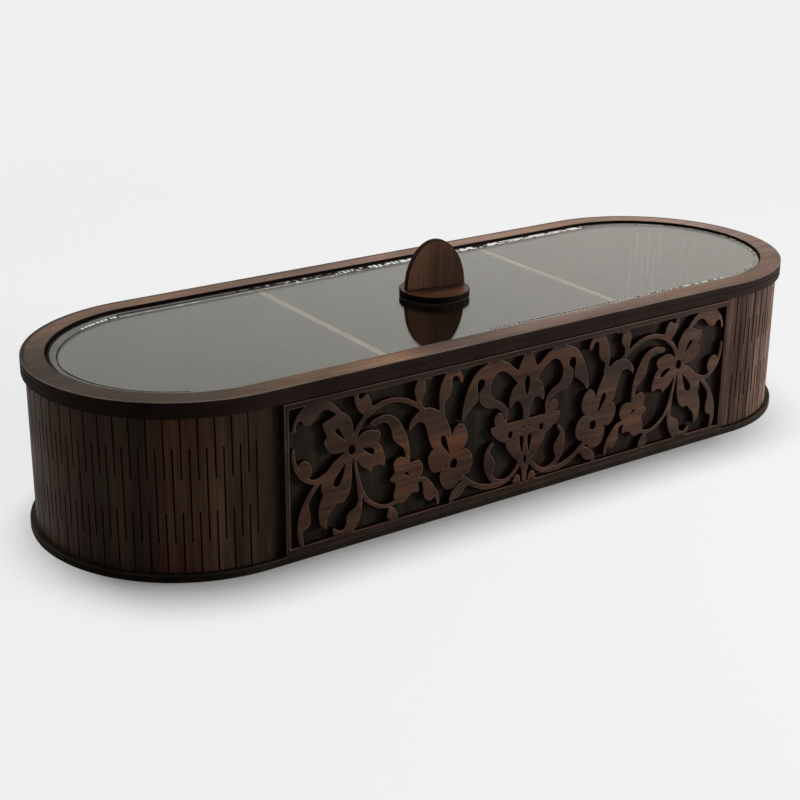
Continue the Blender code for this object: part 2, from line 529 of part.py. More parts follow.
def joined_outlines(solids, cuts):
    """Return the closed borders of the area that the solids cover, less the cuts."""
    points, faces = [], []
    for outline in solids + cuts:
        faces.append(list(range(len(points), len(points) + len(outline))))
        points.extend(turns_left(outline))
    result = delaunay_2d_cdt(points, [], faces, INSIDE_TRIANGLES, MERGE_SHARE)
    places, triangles, sources = result[0], result[2], result[5]
    kept = [corners for corners, cover in zip(triangles, sources) if cover and max(cover) < len(solids)]
    sides = {(a, b) for corners in kept for a, b in zip(corners, corners[1:] + corners[:1])}
    following = {a: b for a, b in sides if (b, a) not in sides}
    borders = []
    while following:
        first = min(following)
        border = [first]
        beyond = following.pop(first)
        while beyond != first:
            border.append(beyond)
            beyond = following.pop(beyond)
        borders.append(thinned([places[corner] for corner in border]))
    return borders


def thinned(border):
    """Return a border without points that lie too close to the one before them."""
    kept = [border[0]]
    for point in border[1:]:
        if (point - kept[-1]).length > SHORTEST_SHARE:
            kept.append(point)
    if (kept[0] - kept[-1]).length <= SHORTEST_SHARE:
        kept.pop()
    return kept


def scroll_panel_outlines():
    """Return the panel's borders in metres, from its lower middle."""
    borders = joined_outlines(frame_outlines() + scroll_solids(), scroll_cuts())
    cell_width = PANEL_LENGTH / GRID_COLUMNS
    cell_height = WALL_HEIGHT / GRID_ROWS
    return [[(point.x * cell_width, point.y * cell_height) for point in border] for border in borders]


def divider_outline():
    """Return a divider's outline: wide between the walls, narrower inside the ledge."""
    low = WALL_WIDTH / 2 - BOARD - JOINT_GAP
    high = LEDGE_OPEN_WIDTH / 2 - JOINT_GAP
    shoulder = WALL_HEIGHT
    top = LEDGE_TOP - WALL_BOTTOM
    return [(-low, 0), (low, 0), (low, shoulder), (high, shoulder), (high, top), (-high, top),
            (-high, shoulder), (-low, shoulder)]


def blade_outline():
    """Return the knob blade's outline: a half ellipse that stands on its flat side."""
    radius = BLADE_WIDTH / 2
    arc = [math.pi * step / BLADE_STEPS for step in range(BLADE_STEPS + 1)]
    return [(radius * math.cos(angle), BLADE_HEIGHT * math.sin(angle)) for angle in arc]


def build_base(collection):
    """Make the flat base plate."""
    outline = round_ended(WALL_LENGTH + 2 * BASE_FLANGE, WALL_WIDTH + 2 * BASE_FLANGE)
    board = make_material("base_board", (0.040, 0.024, 0.017), 0.5)
    place(collection, "base_plate", sheet_curve("base_plate", [outline], BOARD), board, (0, 0, BOARD / 2))


def build_walls(collection):
    """Make the two bent halves of the side wall."""
    for name, side in (("wall_left", -1), ("wall_right", 1)):
        board = make_material(name + "_board", (0.036, 0.023, 0.017), 0.5)
        wall = place(collection, name, wall_mesh(name, side), board, (0, 0, WALL_BOTTOM))
        solidify = wall.modifiers.new("Board", "SOLIDIFY")
        solidify.thickness = BOARD
        solidify.offset = -1.0
        solidify.use_even_offset = True


def build_front_panel(collection):
    """Make the cut scroll panel on the straight front of the wall."""
    board = make_material("scroll_board", (0.115, 0.065, 0.042), 0.45)
    panel = sheet_curve("front_fretwork", scroll_panel_outlines(), OVERLAY_BOARD)
    depth = -(WALL_WIDTH / 2 + JOINT_GAP + OVERLAY_BOARD / 2)
    place(collection, "front_fretwork", panel, board, (0, depth, WALL_BOTTOM), (math.pi / 2, 0, 0))


def build_rim(collection):
    """Make the ledge ring that carries the lid and the frame ring round it."""
    outer = round_ended(RIM_LENGTH, RIM_WIDTH)
    rings = (
        ("rim_ledge", round_ended(LEDGE_LENGTH, LEDGE_OPEN_WIDTH), LEDGE_BOTTOM, (0.048, 0.028, 0.020)),
        ("rim_frame", round_ended(OPENING_LENGTH, OPENING_WIDTH), FRAME_BOTTOM, (0.150, 0.088, 0.060)),
    )
    for name, opening, bottom, colour in rings:
        board = make_material(name + "_board", colour, 0.45)
        ring = sheet_curve(name, [outer, opening], BOARD)
        place(collection, name, ring, board, (0, 0, bottom + BOARD / 2))


def build_dividers(collection):
    """Make the two boards that part the box into three equal rooms."""
    for name, side in (("divider_left", -1), ("divider_right", 1)):
        board = make_material(name + "_board", (0.095, 0.056, 0.038), 0.5)
        divider = sheet_curve(name, [divider_outline()], BOARD)
        middle = (side * DIVIDER_OFFSET, 0, WALL_BOTTOM)
        place(collection, name, divider, board, middle, (math.pi / 2, 0, math.pi / 2))


def build_lid(collection):
    """Make the clear lid and its wooden knob, carried by an empty on the line that it lifts along."""
    lift = bpy.data.objects.new("lid_lift_axis", None)
    lift.location = (0, 0, LID_BOTTOM)
    collection.objects.link(lift)
    outline = round_ended(OPENING_LENGTH - 2 * LID_CLEARANCE, OPENING_WIDTH - 2 * LID_CLEARANCE)
    clear = make_material("lid_clear", (0.80, 0.82, 0.82), 0.05, 1.0)
    lid = place(collection, "lid_panel", sheet_curve("lid_panel", [outline], CLEAR_SHEET), clear,
                (0, 0, CLEAR_SHEET / 2))
    blade_board = make_material("knob_blade_board", (0.085, 0.045, 0.030), 0.45)
    blade = place(collection, "knob_blade", sheet_curve("knob_blade", [blade_outline()], BOARD),
                  blade_board, (KNOB_SHIFT, 0, BLADE_BOTTOM - LID_BOTTOM), (math.pi / 2, 0, BLADE_TURN))
    disc_mesh = bpy.data.meshes.new("knob_disc")
    disc_form = bmesh.new()
    bmesh.ops.create_cone(disc_form, cap_ends=True, segments=DISC_SIDES, radius1=DISC_RADIUS,
                          radius2=DISC_RADIUS, depth=BOARD)
    disc_form.to_mesh(disc_mesh)
    disc_form.free()
    disc_mesh.shade_smooth()
    disc_mesh.set_sharp_from_angle(angle=SHARP_EDGE)
    disc_board = make_material("knob_disc_board", (0.090, 0.048, 0.032), 0.45)
    disc = place(collection, "knob_disc", disc_mesh, disc_board,
                 (KNOB_SHIFT, 0, DISC_BOTTOM - LID_BOTTOM + BOARD / 2))
    for piece in (lid, blade, disc):
        piece.parent = lift


def main():
    """Build the serving box."""
    clear_scene()
    collection = bpy.data.collections.new("Serving box")
    bpy.context.scene.collection.children.link(collection)
    build_base(collection)
    build_walls(collection)
    build_front_panel(collection)
    build_rim(collection)
    build_dividers(collection)
    build_lid(collection)


main()
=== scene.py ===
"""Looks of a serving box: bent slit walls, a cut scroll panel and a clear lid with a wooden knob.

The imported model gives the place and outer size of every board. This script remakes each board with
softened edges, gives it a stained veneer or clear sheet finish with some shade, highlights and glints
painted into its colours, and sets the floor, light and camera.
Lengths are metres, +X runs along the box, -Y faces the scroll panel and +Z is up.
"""

import logging
import math
from dataclasses import dataclass
from enum import Enum
from typing import Any, Iterable, Sequence

import bmesh
import bpy
from bpy.types import Material, Mesh, Node, NodeSocket, NodeTree, Object
from mathutils import Matrix, Quaternion, Vector, noise


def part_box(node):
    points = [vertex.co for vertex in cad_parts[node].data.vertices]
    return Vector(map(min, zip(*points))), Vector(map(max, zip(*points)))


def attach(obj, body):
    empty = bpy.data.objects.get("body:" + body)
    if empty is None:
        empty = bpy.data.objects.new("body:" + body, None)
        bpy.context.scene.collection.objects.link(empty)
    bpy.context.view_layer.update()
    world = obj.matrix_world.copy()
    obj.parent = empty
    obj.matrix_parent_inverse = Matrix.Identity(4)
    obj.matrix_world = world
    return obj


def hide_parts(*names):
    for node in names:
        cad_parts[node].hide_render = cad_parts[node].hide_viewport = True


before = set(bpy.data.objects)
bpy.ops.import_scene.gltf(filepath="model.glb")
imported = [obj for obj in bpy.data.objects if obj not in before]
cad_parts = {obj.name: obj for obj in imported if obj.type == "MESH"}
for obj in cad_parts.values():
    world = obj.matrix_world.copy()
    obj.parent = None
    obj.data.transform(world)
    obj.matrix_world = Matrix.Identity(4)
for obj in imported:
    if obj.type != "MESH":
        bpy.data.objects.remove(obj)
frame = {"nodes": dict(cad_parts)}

log = logging.getLogger("serving_box")

MM = 0.001

Colour = tuple[float, float, float, float]
Place = tuple[float, float, float]
Outline = list[Vector]

# Values between which nearly all of a noise texture lies.
NOISE_SPREAD = (0.3, 0.7)

# Noise cycles per metre along, across and through the grain.
SWAY = (9.0, 30.0, 30.0)
FIGURE = (7.0, 85.0, 85.0)
STREAKS = (24.0, 520.0, 520.0)
PORES = (95.0, 2100.0, 2100.0)
CLOUDS = (30.0, 60.0, 60.0)
HUES = (34.0, 60.0, 60.0)
STAIN_EDGE = (30.0, 120.0, 120.0)

# How far the grain sways across its own direction.
SWAY_REACH = (0.0, 0.009, 0.009)

# Cosine against a sheet's face from which a mesh face is flat, and up to which it is a cut edge.
FLAT_FACING = 0.985
EDGE_FACING = 0.2

# Angles from which an edge of a mesh stays sharp.
SHARP_SHEET = math.radians(50)
SHARP_WALL = math.radians(30)

# A half size so large that a border shade has no border along that axis.
ENDLESS = 1.0


def stain(red: int, green: int, blue: int) -> Colour:
    """Turn a display colour of 0 to 255 into the linear colour that a shader takes.

    Args:
        red: Red part as a picture shows it.
        green: Green part.
        blue: Blue part.

    Returns:
        The linear colour with full opacity.
    """
    def linear(part: int) -> float:
        share = part / 255
        return share / 12.92 if share <= 0.04045 else ((share + 0.055) / 1.055) ** 2.4

    return (linear(red), linear(green), linear(blue), 1.0)


def stains(*parts: tuple[int, int, int]) -> tuple[Colour, ...]:
    """Turn several display colours into linear ones."""
    return tuple(stain(*part) for part in parts)


class GrainWay(Enum):
    """Direction in which a board's grain runs, as the order of axes along, across and through it."""

    ALONG = (0, 1, 2)
    ACROSS = (1, 0, 2)
    UPRIGHT = (2, 0, 1)


class FaceWay(Enum):
    """Axis that a board's two broad faces look along."""

    UP = 2
    FRONT = 1
    SIDE = 0


class Wiring:
    """Adds nodes to one node tree and joins their sockets."""

    def __init__(self, tree: NodeTree) -> None:
        """Keep the tree that the nodes go into."""
        self.tree = tree
        self.leave: Node | None = None

    def add(self, kind: str, feeds: dict[Any, Any] | None = None, **settings: Any) -> Node:
        """Add a node.

        Args:
            kind: Blender's name of the node's type.
            feeds: Sockets to join or values to set, by input name or number.
            **settings: Properties of the node itself.

        Returns:
            The new node.
        """
        node = self.tree.nodes.new(kind)
        for name, value in settings.items():
            setattr(node, name, value)
        for key, value in (feeds or {}).items():
            self.feed(node.inputs[key], value)
        return node

    def feed(self, socket: NodeSocket, value: Any) -> None:
        """Join a socket to an input, or set the input's own value."""
        if isinstance(value, NodeSocket):
            self.tree.links.new(value, socket)
        else:
            socket.default_value = value

    def maths(self, operation: str, *terms: Any, clamp: bool = False) -> NodeSocket:
        """Return the result of a sum on one, two or three values."""
        node = self.add("ShaderNodeMath", dict(enumerate(terms)), operation=operation, use_clamp=clamp)
        return node.outputs[0]

    def product(self, *factors: Any) -> NodeSocket:
        """Return the product of several values, multiplied from the first on."""
        result = factors[0]
        for factor in factors[1:]:
            result = self.maths("MULTIPLY", result, factor)
        return result

    def vector(self, operation: str, *terms: Any) -> NodeSocket:
        """Return the vector result of a sum on vectors."""
        node = self.add("ShaderNodeVectorMath", dict(enumerate(terms)), operation=operation)
        return node.outputs[0]

    def measure(self, operation: str, *terms: Any) -> NodeSocket:
        """Return the value of a sum on vectors, such as a length."""
        node = self.add("ShaderNodeVectorMath", dict(enumerate(terms)), operation=operation)
        return node.outputs["Value"]

    def here(self) -> NodeSocket:
        """Return the place on the object."""
        return self.add("ShaderNodeTexCoord").outputs["Object"]

    def parts(self, place: Any) -> Any:
        """Return the three parts of a place."""
        return self.add("ShaderNodeSeparateXYZ", {0: place}).outputs

    def point(self, *parts: Any) -> NodeSocket:
        """Return the place that three parts make."""
        return self.add("ShaderNodeCombineXYZ", dict(enumerate(parts))).outputs[0]

    def blend(self, share: Any, first: Node, second: Node) -> Node:
        """Return a shader node that mixes two shader nodes by a share."""
        return self.add("ShaderNodeMixShader", {0: share, 1: first.outputs[0], 2: second.outputs[0]})

    def group(self, tree: NodeTree, **feeds: Any) -> Any:
        """Place a shared effect and return its outputs."""
        return self.add("ShaderNodeGroup", feeds, node_tree=tree).outputs

    def give(self, **results: Any) -> NodeTree:
        """Join results to the group's outputs and return the finished group."""
        for name, value in results.items():
            self.feed(self.leave.inputs[name], value)
        return self.tree

    def ramp(self, value: Any, low: Any, high: Any, out_low: Any = 0.0, out_high: Any = 1.0,
             smooth: bool = False) -> NodeSocket:
        """Return a value moved from one range to another, held at both ends."""
        kind = "SMOOTHSTEP" if smooth else "LINEAR"
        feeds = {0: value, 1: low, 2: high, 3: out_low, 4: out_high}
        return self.add("ShaderNodeMapRange", feeds, interpolation_type=kind, clamp=True).outputs[0]

    def spread(self, value: Any, out_low: Any = 0.0, out_high: Any = 1.0) -> NodeSocket:
        """Return a noise value spread evenly over a range."""
        return self.ramp(value, *NOISE_SPREAD, out_low, out_high)

    def mix(self, share: Any, first: Any, second: Any, blend: str = "MIX") -> NodeSocket:
        """Return two colours mixed by a share."""
        node = self.add("ShaderNodeMix", {0: share, 6: first, 7: second}, data_type="RGBA",
                        blend_type=blend, clamp_factor=True)
        return node.outputs[2]

    def scaled(self, colour: Any, level: Any) -> NodeSocket:
        """Return a colour made lighter or darker by a level."""
        return self.add("ShaderNodeVectorMath", {0: colour, 3: level}, operation="SCALE").outputs[0]

    def noise(self, place: Any, stretch: float | Place, detail: float, roughness: float = 0.5,
              twist: float = 0.0, output: int | str = 0) -> NodeSocket:
        """Return a noise texture read at a place.

        Args:
            place: The place.
            stretch: Cycles per metre, as one number or as one for each axis.
            detail: Number of finer layers.
            roughness: Strength of the finer layers.
            twist: How much the noise distorts itself.
            output: The value, or "Color" for three values.

        Returns:
            The noise.
        """
        if isinstance(stretch, tuple):
            place, stretch = self.vector("MULTIPLY", place, stretch), 1.0
        feeds = {"Vector": place, "Scale": stretch, "Detail": detail, "Roughness": roughness,
                 "Distortion": twist}
        return self.add("ShaderNodeTexNoise", feeds).outputs[output]


@dataclass(frozen=True)
class Socket:
    """One socket of a shader node group."""

    name: str
    kind: str = "Float"
    value: Any = None


def new_group(name: str, takes: Sequence[Socket], gives: Sequence[Socket]) -> tuple[Wiring, Any]:
    """Start a shader node group with named sockets.

    Args:
        name: Name of the group.
        takes: Sockets that feed the group.
        gives: Sockets that the group feeds.

    Returns:
        The wiring of the group and its input sockets.
    """
    tree = bpy.data.node_groups.new(name, "ShaderNodeTree")
    for direction, sockets in (("INPUT", takes), ("OUTPUT", gives)):
        for socket in sockets:
            made = tree.interface.new_socket(name=socket.name, in_out=direction,
                                             socket_type="NodeSocket" + socket.kind)
            if socket.value is not None:
                made.default_value = socket.value
    wiring = Wiring(tree)
    wiring.leave = wiring.add("NodeGroupOutput")
    return wiring, wiring.add("NodeGroupInput").outputs


class EffectLibrary:
    """Holds the shader effects that several finishes share, each built once as a node group."""

    def __init__(self) -> None:
        """Build every shared effect."""
        self.grain = self.build_grain()
        self.softened = self.build_edge_wear_and_highlight()
        self.handling = self.build_handling()
        self.strips = self.build_strip_tint()
        self.soft_area = self.build_soft_area()
        self.border = self.build_border()

    @staticmethod
    def build_grain() -> NodeTree:
        """Build stained wood grain that runs along X.

        Returns:
            A group that gives the colour, the height and the pores of the grain.
        """
        wiring, takes = new_group(
            "Stained grain",
            (Socket("Place", "Vector"), Socket("Dark", "Color"), Socket("Middle", "Color"),
             Socket("Light", "Color"), Socket("Figure", value=1.0), Socket("Streaks", value=1.0)),
            (Socket("Colour", "Color"), Socket("Height"), Socket("Pores")),
        )
        sway = wiring.noise(takes["Place"], SWAY, 2.0, output="Color")
        centred = wiring.vector("SUBTRACT", sway, (0.5, 0.5, 0.5))
        swayed = wiring.vector("ADD", takes["Place"], wiring.vector("MULTIPLY", centred, SWAY_REACH))
        broad = wiring.noise(swayed, FIGURE, 3.0, 0.55, 0.6)
        fine = wiring.noise(swayed, STREAKS, 4.0, 0.62)
        hair = wiring.noise(swayed, PORES, 2.0)
        band = wiring.ramp(broad, 0.34, 0.66, -0.5, 0.5, smooth=True)
        streak = wiring.spread(fine, -0.5, 0.5)
        tone = wiring.maths("ADD", wiring.product(band, takes["Figure"]),
                            wiring.product(streak, takes["Streaks"]))
        darker = wiring.mix(wiring.ramp(tone, -0.75, 0.0), takes["Dark"], takes["Middle"])
        body = wiring.mix(wiring.ramp(tone, 0.0, 0.75), darker, takes["Light"])
        open_pores = wiring.product(wiring.ramp(hair, 0.56, 0.7), wiring.ramp(tone, 0.35, -0.35, 0.35, 1.0))
        darkened = wiring.mix(wiring.product(open_pores, 0.55), body, takes["Dark"])
        height = wiring.maths("SUBTRACT", wiring.product(streak, 0.35), open_pores)
        return wiring.give(Colour=darkened, Height=height, Pores=open_pores)

    @staticmethod
    def build_edge_wear_and_highlight() -> NodeTree:
        """Build a mask of the edges where stain is rubbed thin and where a painted highlight falls.

        Returns:
            A group that gives a broken mask along outer edges.
        """
        wiring, takes = new_group(
            "Edge wear and highlight",
            (Socket("Place", "Vector"), Socket("Width", value=0.5 * MM), Socket("Amount", value=1.0)),
            (Socket("Mask"),),
        )
        rounded = wiring.add("ShaderNodeBevel", {"Radius": takes["Width"]}, samples=4).outputs[0]
        flat = wiring.add("ShaderNodeNewGeometry").outputs["Normal"]
        edge = wiring.ramp(wiring.measure("DOT_PRODUCT", rounded, flat), 0.995, 0.8)
        broken = wiring.ramp(wiring.noise(takes["Place"], 140.0, 3.0, 0.6), 0.3, 0.62, 0.35, 1.0)
        return wiring.give(Mask=wiring.maths("MULTIPLY", wiring.product(edge, broken), takes["Amount"],
                                             clamp=True))

    @staticmethod
    def build_handling() -> NodeTree:
        """Build the faint uneven sheen that hands and wiping leave.

        Returns:
            A group that gives a smudge value around zero and a dust mask.
        """
        wiring, takes = new_group(
            "Handling",
            (Socket("Place", "Vector"),),
            (Socket("Smudge"), Socket("Dust")),
        )
        wide = wiring.noise(takes["Place"], 28.0, 3.0, 0.6, 0.4)
        small = wiring.noise(takes["Place"], 230.0, 2.0)
        smudge = wiring.maths("ADD", wiring.spread(wide, -0.5, 0.5), wiring.spread(small, -0.15, 0.15))
        specks = wiring.noise(takes["Place"], 1900.0, 1.0)
        dust = wiring.product(wiring.ramp(specks, 0.66, 0.76), wiring.ramp(wide, 0.42, 0.6))
        return wiring.give(Smudge=smudge, Dust=dust)

    @staticmethod
    def build_strip_tint() -> NodeTree:
        """Build the change of tint from one wall strip to the next.

        Returns:
            A group that gives a warm share and a light value for the strip at a place.
        """
        wiring, takes = new_group(
            "Strip tint",
            (Socket("Run"), Socket("Height"), Socket("Pitch", value=3.0 * MM)),
            (Socket("Warmth"), Socket("Lightness")),
        )
        strip = wiring.maths("FLOOR", wiring.maths("DIVIDE", takes["Run"], takes["Pitch"]))
        spot = wiring.point(wiring.product(strip, 7.31), wiring.product(takes["Height"], 34.0), 0.0)
        own = wiring.noise(spot, 1.0, 1.0)
        patch = wiring.noise(wiring.point(takes["Run"], takes["Height"], 0.0), 46.0, 2.0)
        warm = wiring.maths("ADD", wiring.ramp(patch, 0.42, 0.58, 0.0, 0.7),
                            wiring.ramp(own, 0.35, 0.65, 0.0, 0.3))
        return wiring.give(Warmth=warm, Lightness=wiring.ramp(own, 0.28, 0.72, -0.5, 0.5))

    @staticmethod
    def build_soft_area() -> NodeTree:
        """Build a soft uneven mask of an area, for deeper or thinner stain and for painted shade, shadow and
        sheen.

        Returns:
            A group that gives a soft uneven mask round a middle place.
        """
        wiring, takes = new_group(
            "Soft area",
            (Socket("Place", "Vector"), Socket("Middle", "Vector"), Socket("Reach", value=0.1)),
            (Socket("Mask"),),
        )
        away = wiring.vector("MULTIPLY", wiring.vector("SUBTRACT", takes["Place"], takes["Middle"]),
                             (0.6, 1.0, 1.0))
        share = wiring.maths("DIVIDE", wiring.measure("LENGTH", away), takes["Reach"])
        uneven = wiring.noise(takes["Place"], STAIN_EDGE, 3.0, 0.55)
        edge = wiring.maths("ADD", share, wiring.spread(uneven, -0.15, 0.15))
        return wiring.give(Mask=wiring.ramp(edge, 1.0, 0.35, smooth=True))

    @staticmethod
    def build_border() -> NodeTree:
        """Build the distance from an outline with rounded corners, measured in its own plane.

        Returns:
            A group that gives the distance, which is negative inside the outline.
        """
        wiring, takes = new_group(
            "Border distance",
            (Socket("Place", "Vector"), Socket("Core", "Vector"), Socket("Corner", value=1.0 * MM)),
            (Socket("Distance"),),
        )
        beyond = wiring.vector("SUBTRACT", wiring.vector("ABSOLUTE", takes["Place"]), takes["Core"])
        reach = wiring.measure("LENGTH", wiring.vector("MAXIMUM", beyond, (0.0, 0.0, 0.0)))
        return wiring.give(Distance=wiring.maths("SUBTRACT", reach, takes["Corner"]))


def new_material(name: str) -> tuple[Material, Wiring, Node]:
    """Start a material and return it with its wiring and its Principled shader."""
    material = bpy.data.materials.new(name)
    material.use_nodes = True
    wiring = Wiring(material.node_tree)
    return material, wiring, material.node_tree.nodes["Principled BSDF"]


@dataclass(frozen=True)
class Relief:
    """Sheen and small unevenness of a kind of finish.

    Attributes:
        smudge: How much hands change the roughness.
        strength: Strength of the bump.
        depth: Depth of the bump.
        pores: How much rougher the pores are.
    """

    smudge: float
    strength: float
    depth: float
    pores: float = 0.0

    def put_on(self, wiring: Wiring, shader: Node, hands: Any, height: Any, roughness: float,
               gloss: float, pores: Any = None) -> None:
        """Set the roughness, the gloss and the bump of a shader.

        Args:
            wiring: The material's wiring.
            shader: Its Principled shader.
            hands: Outputs of the handling effect.
            height: Height for the bump.
            roughness: Roughness where no hand has been.
            gloss: Level of the surface reflection.
            pores: Mask of the pores, if there are any.
        """
        rough = wiring.maths("MULTIPLY_ADD", hands["Smudge"], self.smudge, roughness)
        if pores is not None:
            rough = wiring.maths("MULTIPLY_ADD", pores, self.pores, rough)
        wiring.feed(shader.inputs["Roughness"], rough)
        shader.inputs["Specular IOR Level"].default_value = gloss
        bump = wiring.add("ShaderNodeBump", {"Strength": self.strength, "Distance": self.depth,
                                             "Height": height})
        wiring.feed(shader.inputs["Normal"], bump.outputs[0])


@dataclass(frozen=True)
class Finish:
    """Look of some faces of a piece, which its kinds paint in their own way."""

    name: str

    def paint(self, wiring: Wiring, shader: Node, effects: EffectLibrary) -> None:
        """Join the finish to a shader.

        Args:
            wiring: The material's wiring.
            shader: Its Principled shader.
            effects: The shared shader effects.
        """
        raise NotImplementedError

    def material(self, effects: EffectLibrary) -> Material:
        """Return a new material with the finish."""
        material, wiring, shader = new_material(self.name)
        self.paint(wiring, shader, effects)
        return material


VENEER_RELIEF = Relief(smudge=0.1, strength=0.35, depth=0.08 * MM, pores=0.18)
EDGE_RELIEF = Relief(smudge=0.12, strength=0.4, depth=0.06 * MM)
WALL_RELIEF = Relief(smudge=0.12, strength=0.4, depth=0.1 * MM, pores=0.15)


@dataclass(frozen=True)
class BorderShade:
    """A painted shade: a darker line that follows the outline of a board.

    Attributes:
        middle: Middle of the outline.
        half: Half of the outline's sizes along X, Y and Z, with a large value across its plane.
        corner: Radius of the outline's corners.
        clear: Distance from the outline at which the shade ends.
        full: Distance from the outline at which the shade is full.
        share: Strength of the shade.
        from_depth: Place on Y from which the shade starts.
        fade: Distance along Y over which it then grows.
    """

    middle: Place
    half: Place
    corner: float
    clear: float
    full: float
    share: float
    from_depth: float = -1.0
    fade: float = 20.0 * MM

    def mask(self, wiring: Wiring, effects: EffectLibrary, here: Any) -> Any:
        """Return the mask of the line at a place."""
        core = tuple(part - self.corner for part in self.half)
        border = wiring.group(effects.border, Place=wiring.vector("SUBTRACT", here, self.middle), Core=core,
                              Corner=self.corner)
        line = wiring.ramp(border["Distance"], self.clear, self.full, smooth=True)
        behind = wiring.ramp(wiring.parts(here)[1], self.from_depth, self.from_depth + self.fade)
        return wiring.product(line, behind, self.share)


@dataclass(frozen=True)
class StainAndLightPatch:
    """A soft uneven darker or lighter area, for deeper or thinner stain and for painted shade, shadow and
    sheen.

    Attributes:
        middle: Middle of the area.
        reach: Distance from the middle at which the area ends.
        tint: Colour by which the veneer is multiplied there.
        share: Strength of the area.
    """

    middle: Place
    reach: float
    tint: Colour
    share: float = 1.0

    def tint_area(self, wiring: Wiring, effects: EffectLibrary, here: Any, body: Any) -> Any:
        """Return a body colour with the area's tint multiplied into it."""
        area = wiring.group(effects.soft_area, Place=here, Middle=self.middle, Reach=self.reach)
        return wiring.mix(wiring.product(area["Mask"], self.share), body, self.tint, "MULTIPLY")


@dataclass(frozen=True)
class StainedVeneer(Finish):
    """Finish of a board's broad faces in stained walnut veneer.

    Attributes:
        tones: Dark, middle and light tint of the grain.
        grain: Direction of the grain.
        offset: Shift of the grain, so that no two boards look alike.
        figure: Strength of the broad figure.
        streaks: Strength of the fine grain.
        roughness: Roughness where no hand has been.
        gloss: Level of the surface reflection.
        wear: How much the edges are rubbed and lit by a painted highlight.
        patches: Darker or lighter areas, for deeper or thinner stain and for painted shade and sheen.
        clouds: How much the lightness drifts.
        drift: How much the hue drifts.
        shades: Darker lines along outlines, painted shade.
        shade_tint: Tint of those lines.
        cool_drift: Tint at the cool end of the hue's drift.
        warm_drift: Tint at the warm end of the hue's drift.
        worn_and_lit: Colour of rubbed edges and of their painted highlight.
        dust: Colour of dust.
        dust_share: Strength of the dust.
    """

    tones: tuple[Colour, ...]
    grain: GrainWay
    offset: Place = (0.0, 0.0, 0.0)
    figure: float = 0.8
    streaks: float = 0.8
    roughness: float = 0.42
    gloss: float = 0.2
    wear: float = 0.5
    patches: tuple[StainAndLightPatch, ...] = ()
    clouds: float = 0.15
    drift: float = 0.5
    shades: tuple[BorderShade, ...] = ()
    shade_tint: Colour = (0.12, 0.1, 0.09, 1.0)
    cool_drift: Colour = (0.88, 0.93, 1.06, 1.0)
    warm_drift: Colour = (1.12, 1.0, 0.86, 1.0)
    worn_and_lit: Colour = stain(150, 120, 98)
    dust: Colour = stain(190, 184, 176)
    dust_share: float = 0.12

    def paint(self, wiring: Wiring, shader: Node, effects: EffectLibrary) -> None:
        """Set the colour, the roughness and the bump."""
        here = wiring.here()
        parts = wiring.parts(wiring.vector("ADD", here, self.offset))
        place = wiring.point(*(parts[axis] for axis in self.grain.value))
        dark, middle, light = self.tones
        grain = wiring.group(effects.grain, Place=place, Dark=dark, Middle=middle, Light=light,
                             Figure=self.figure, Streaks=self.streaks)
        level = wiring.spread(wiring.noise(place, CLOUDS, 2.0), 1.0 - self.clouds, 1.0 + self.clouds)
        hue = wiring.ramp(wiring.noise(here, HUES, 2.0), 0.4, 0.6)
        leaning = wiring.mix(hue, self.cool_drift, self.warm_drift)
        body = wiring.mix(self.drift, wiring.scaled(grain["Colour"], level), leaning, "MULTIPLY")
        for patch in self.patches:
            body = patch.tint_area(wiring, effects, here, body)
        for shade in self.shades:
            body = wiring.mix(shade.mask(wiring, effects, here), body, self.shade_tint, "MULTIPLY")
        # Rubbed stain and a painted highlight along the edges.
        rubbed = wiring.mix(wiring.group(effects.softened, Place=place, Amount=self.wear)["Mask"], body,
                            self.worn_and_lit)
        hands = wiring.group(effects.handling, Place=place)
        dusty = wiring.mix(wiring.product(hands["Dust"], self.dust_share), rubbed, self.dust)
        wiring.feed(shader.inputs["Base Color"], dusty)
        VENEER_RELIEF.put_on(wiring, shader, hands, grain["Height"], self.roughness, self.gloss,
                             grain["Pores"])


@dataclass(frozen=True)
class CutEdge(Finish):
    """Finish of a board's cut edges, darkened by the cut and striped by the layers of the board.
    With light or dark tones it also paints highlights, glints and shade on edges and roundings.

    Attributes:
        tones: Dark and light tint.
        layered: Axis through the board's layers.
        roughness: Roughness where no hand has been.
        gloss: Level of the surface reflection.
        scorch_cycles: Cycles per metre of the burn noise.
        along_cycles: Cycles of the layers per metre, along them.
        layer_cycles: Cycles of the layers per metre, through the board.
        layer_share: How much of the tone the layers make.
    """

    tones: tuple[Colour, ...]
    layered: FaceWay = FaceWay.UP
    roughness: float = 0.62
    gloss: float = 0.03
    scorch_cycles: float = 60.0
    along_cycles: float = 70.0
    layer_cycles: float = 1500.0
    layer_share: float = 0.4

    def paint(self, wiring: Wiring, shader: Node, effects: EffectLibrary) -> None:
        """Set the colour, the roughness and the bump."""
        place = wiring.here()
        stretch = tuple(self.layer_cycles if axis == self.layered.value else self.along_cycles
                        for axis in range(3))
        layers = wiring.noise(place, stretch, 3.0, 0.55)
        edge_tone = wiring.noise(place, self.scorch_cycles, 3.0, 0.6)
        tone = wiring.maths("MULTIPLY_ADD", wiring.spread(edge_tone), 1.0 - self.layer_share,
                            wiring.spread(layers, 0.0, self.layer_share))
        hands = wiring.group(effects.handling, Place=place)
        wiring.feed(shader.inputs["Base Color"], wiring.mix(tone, *self.tones))
        EDGE_RELIEF.put_on(wiring, shader, hands, layers, self.roughness, self.gloss)


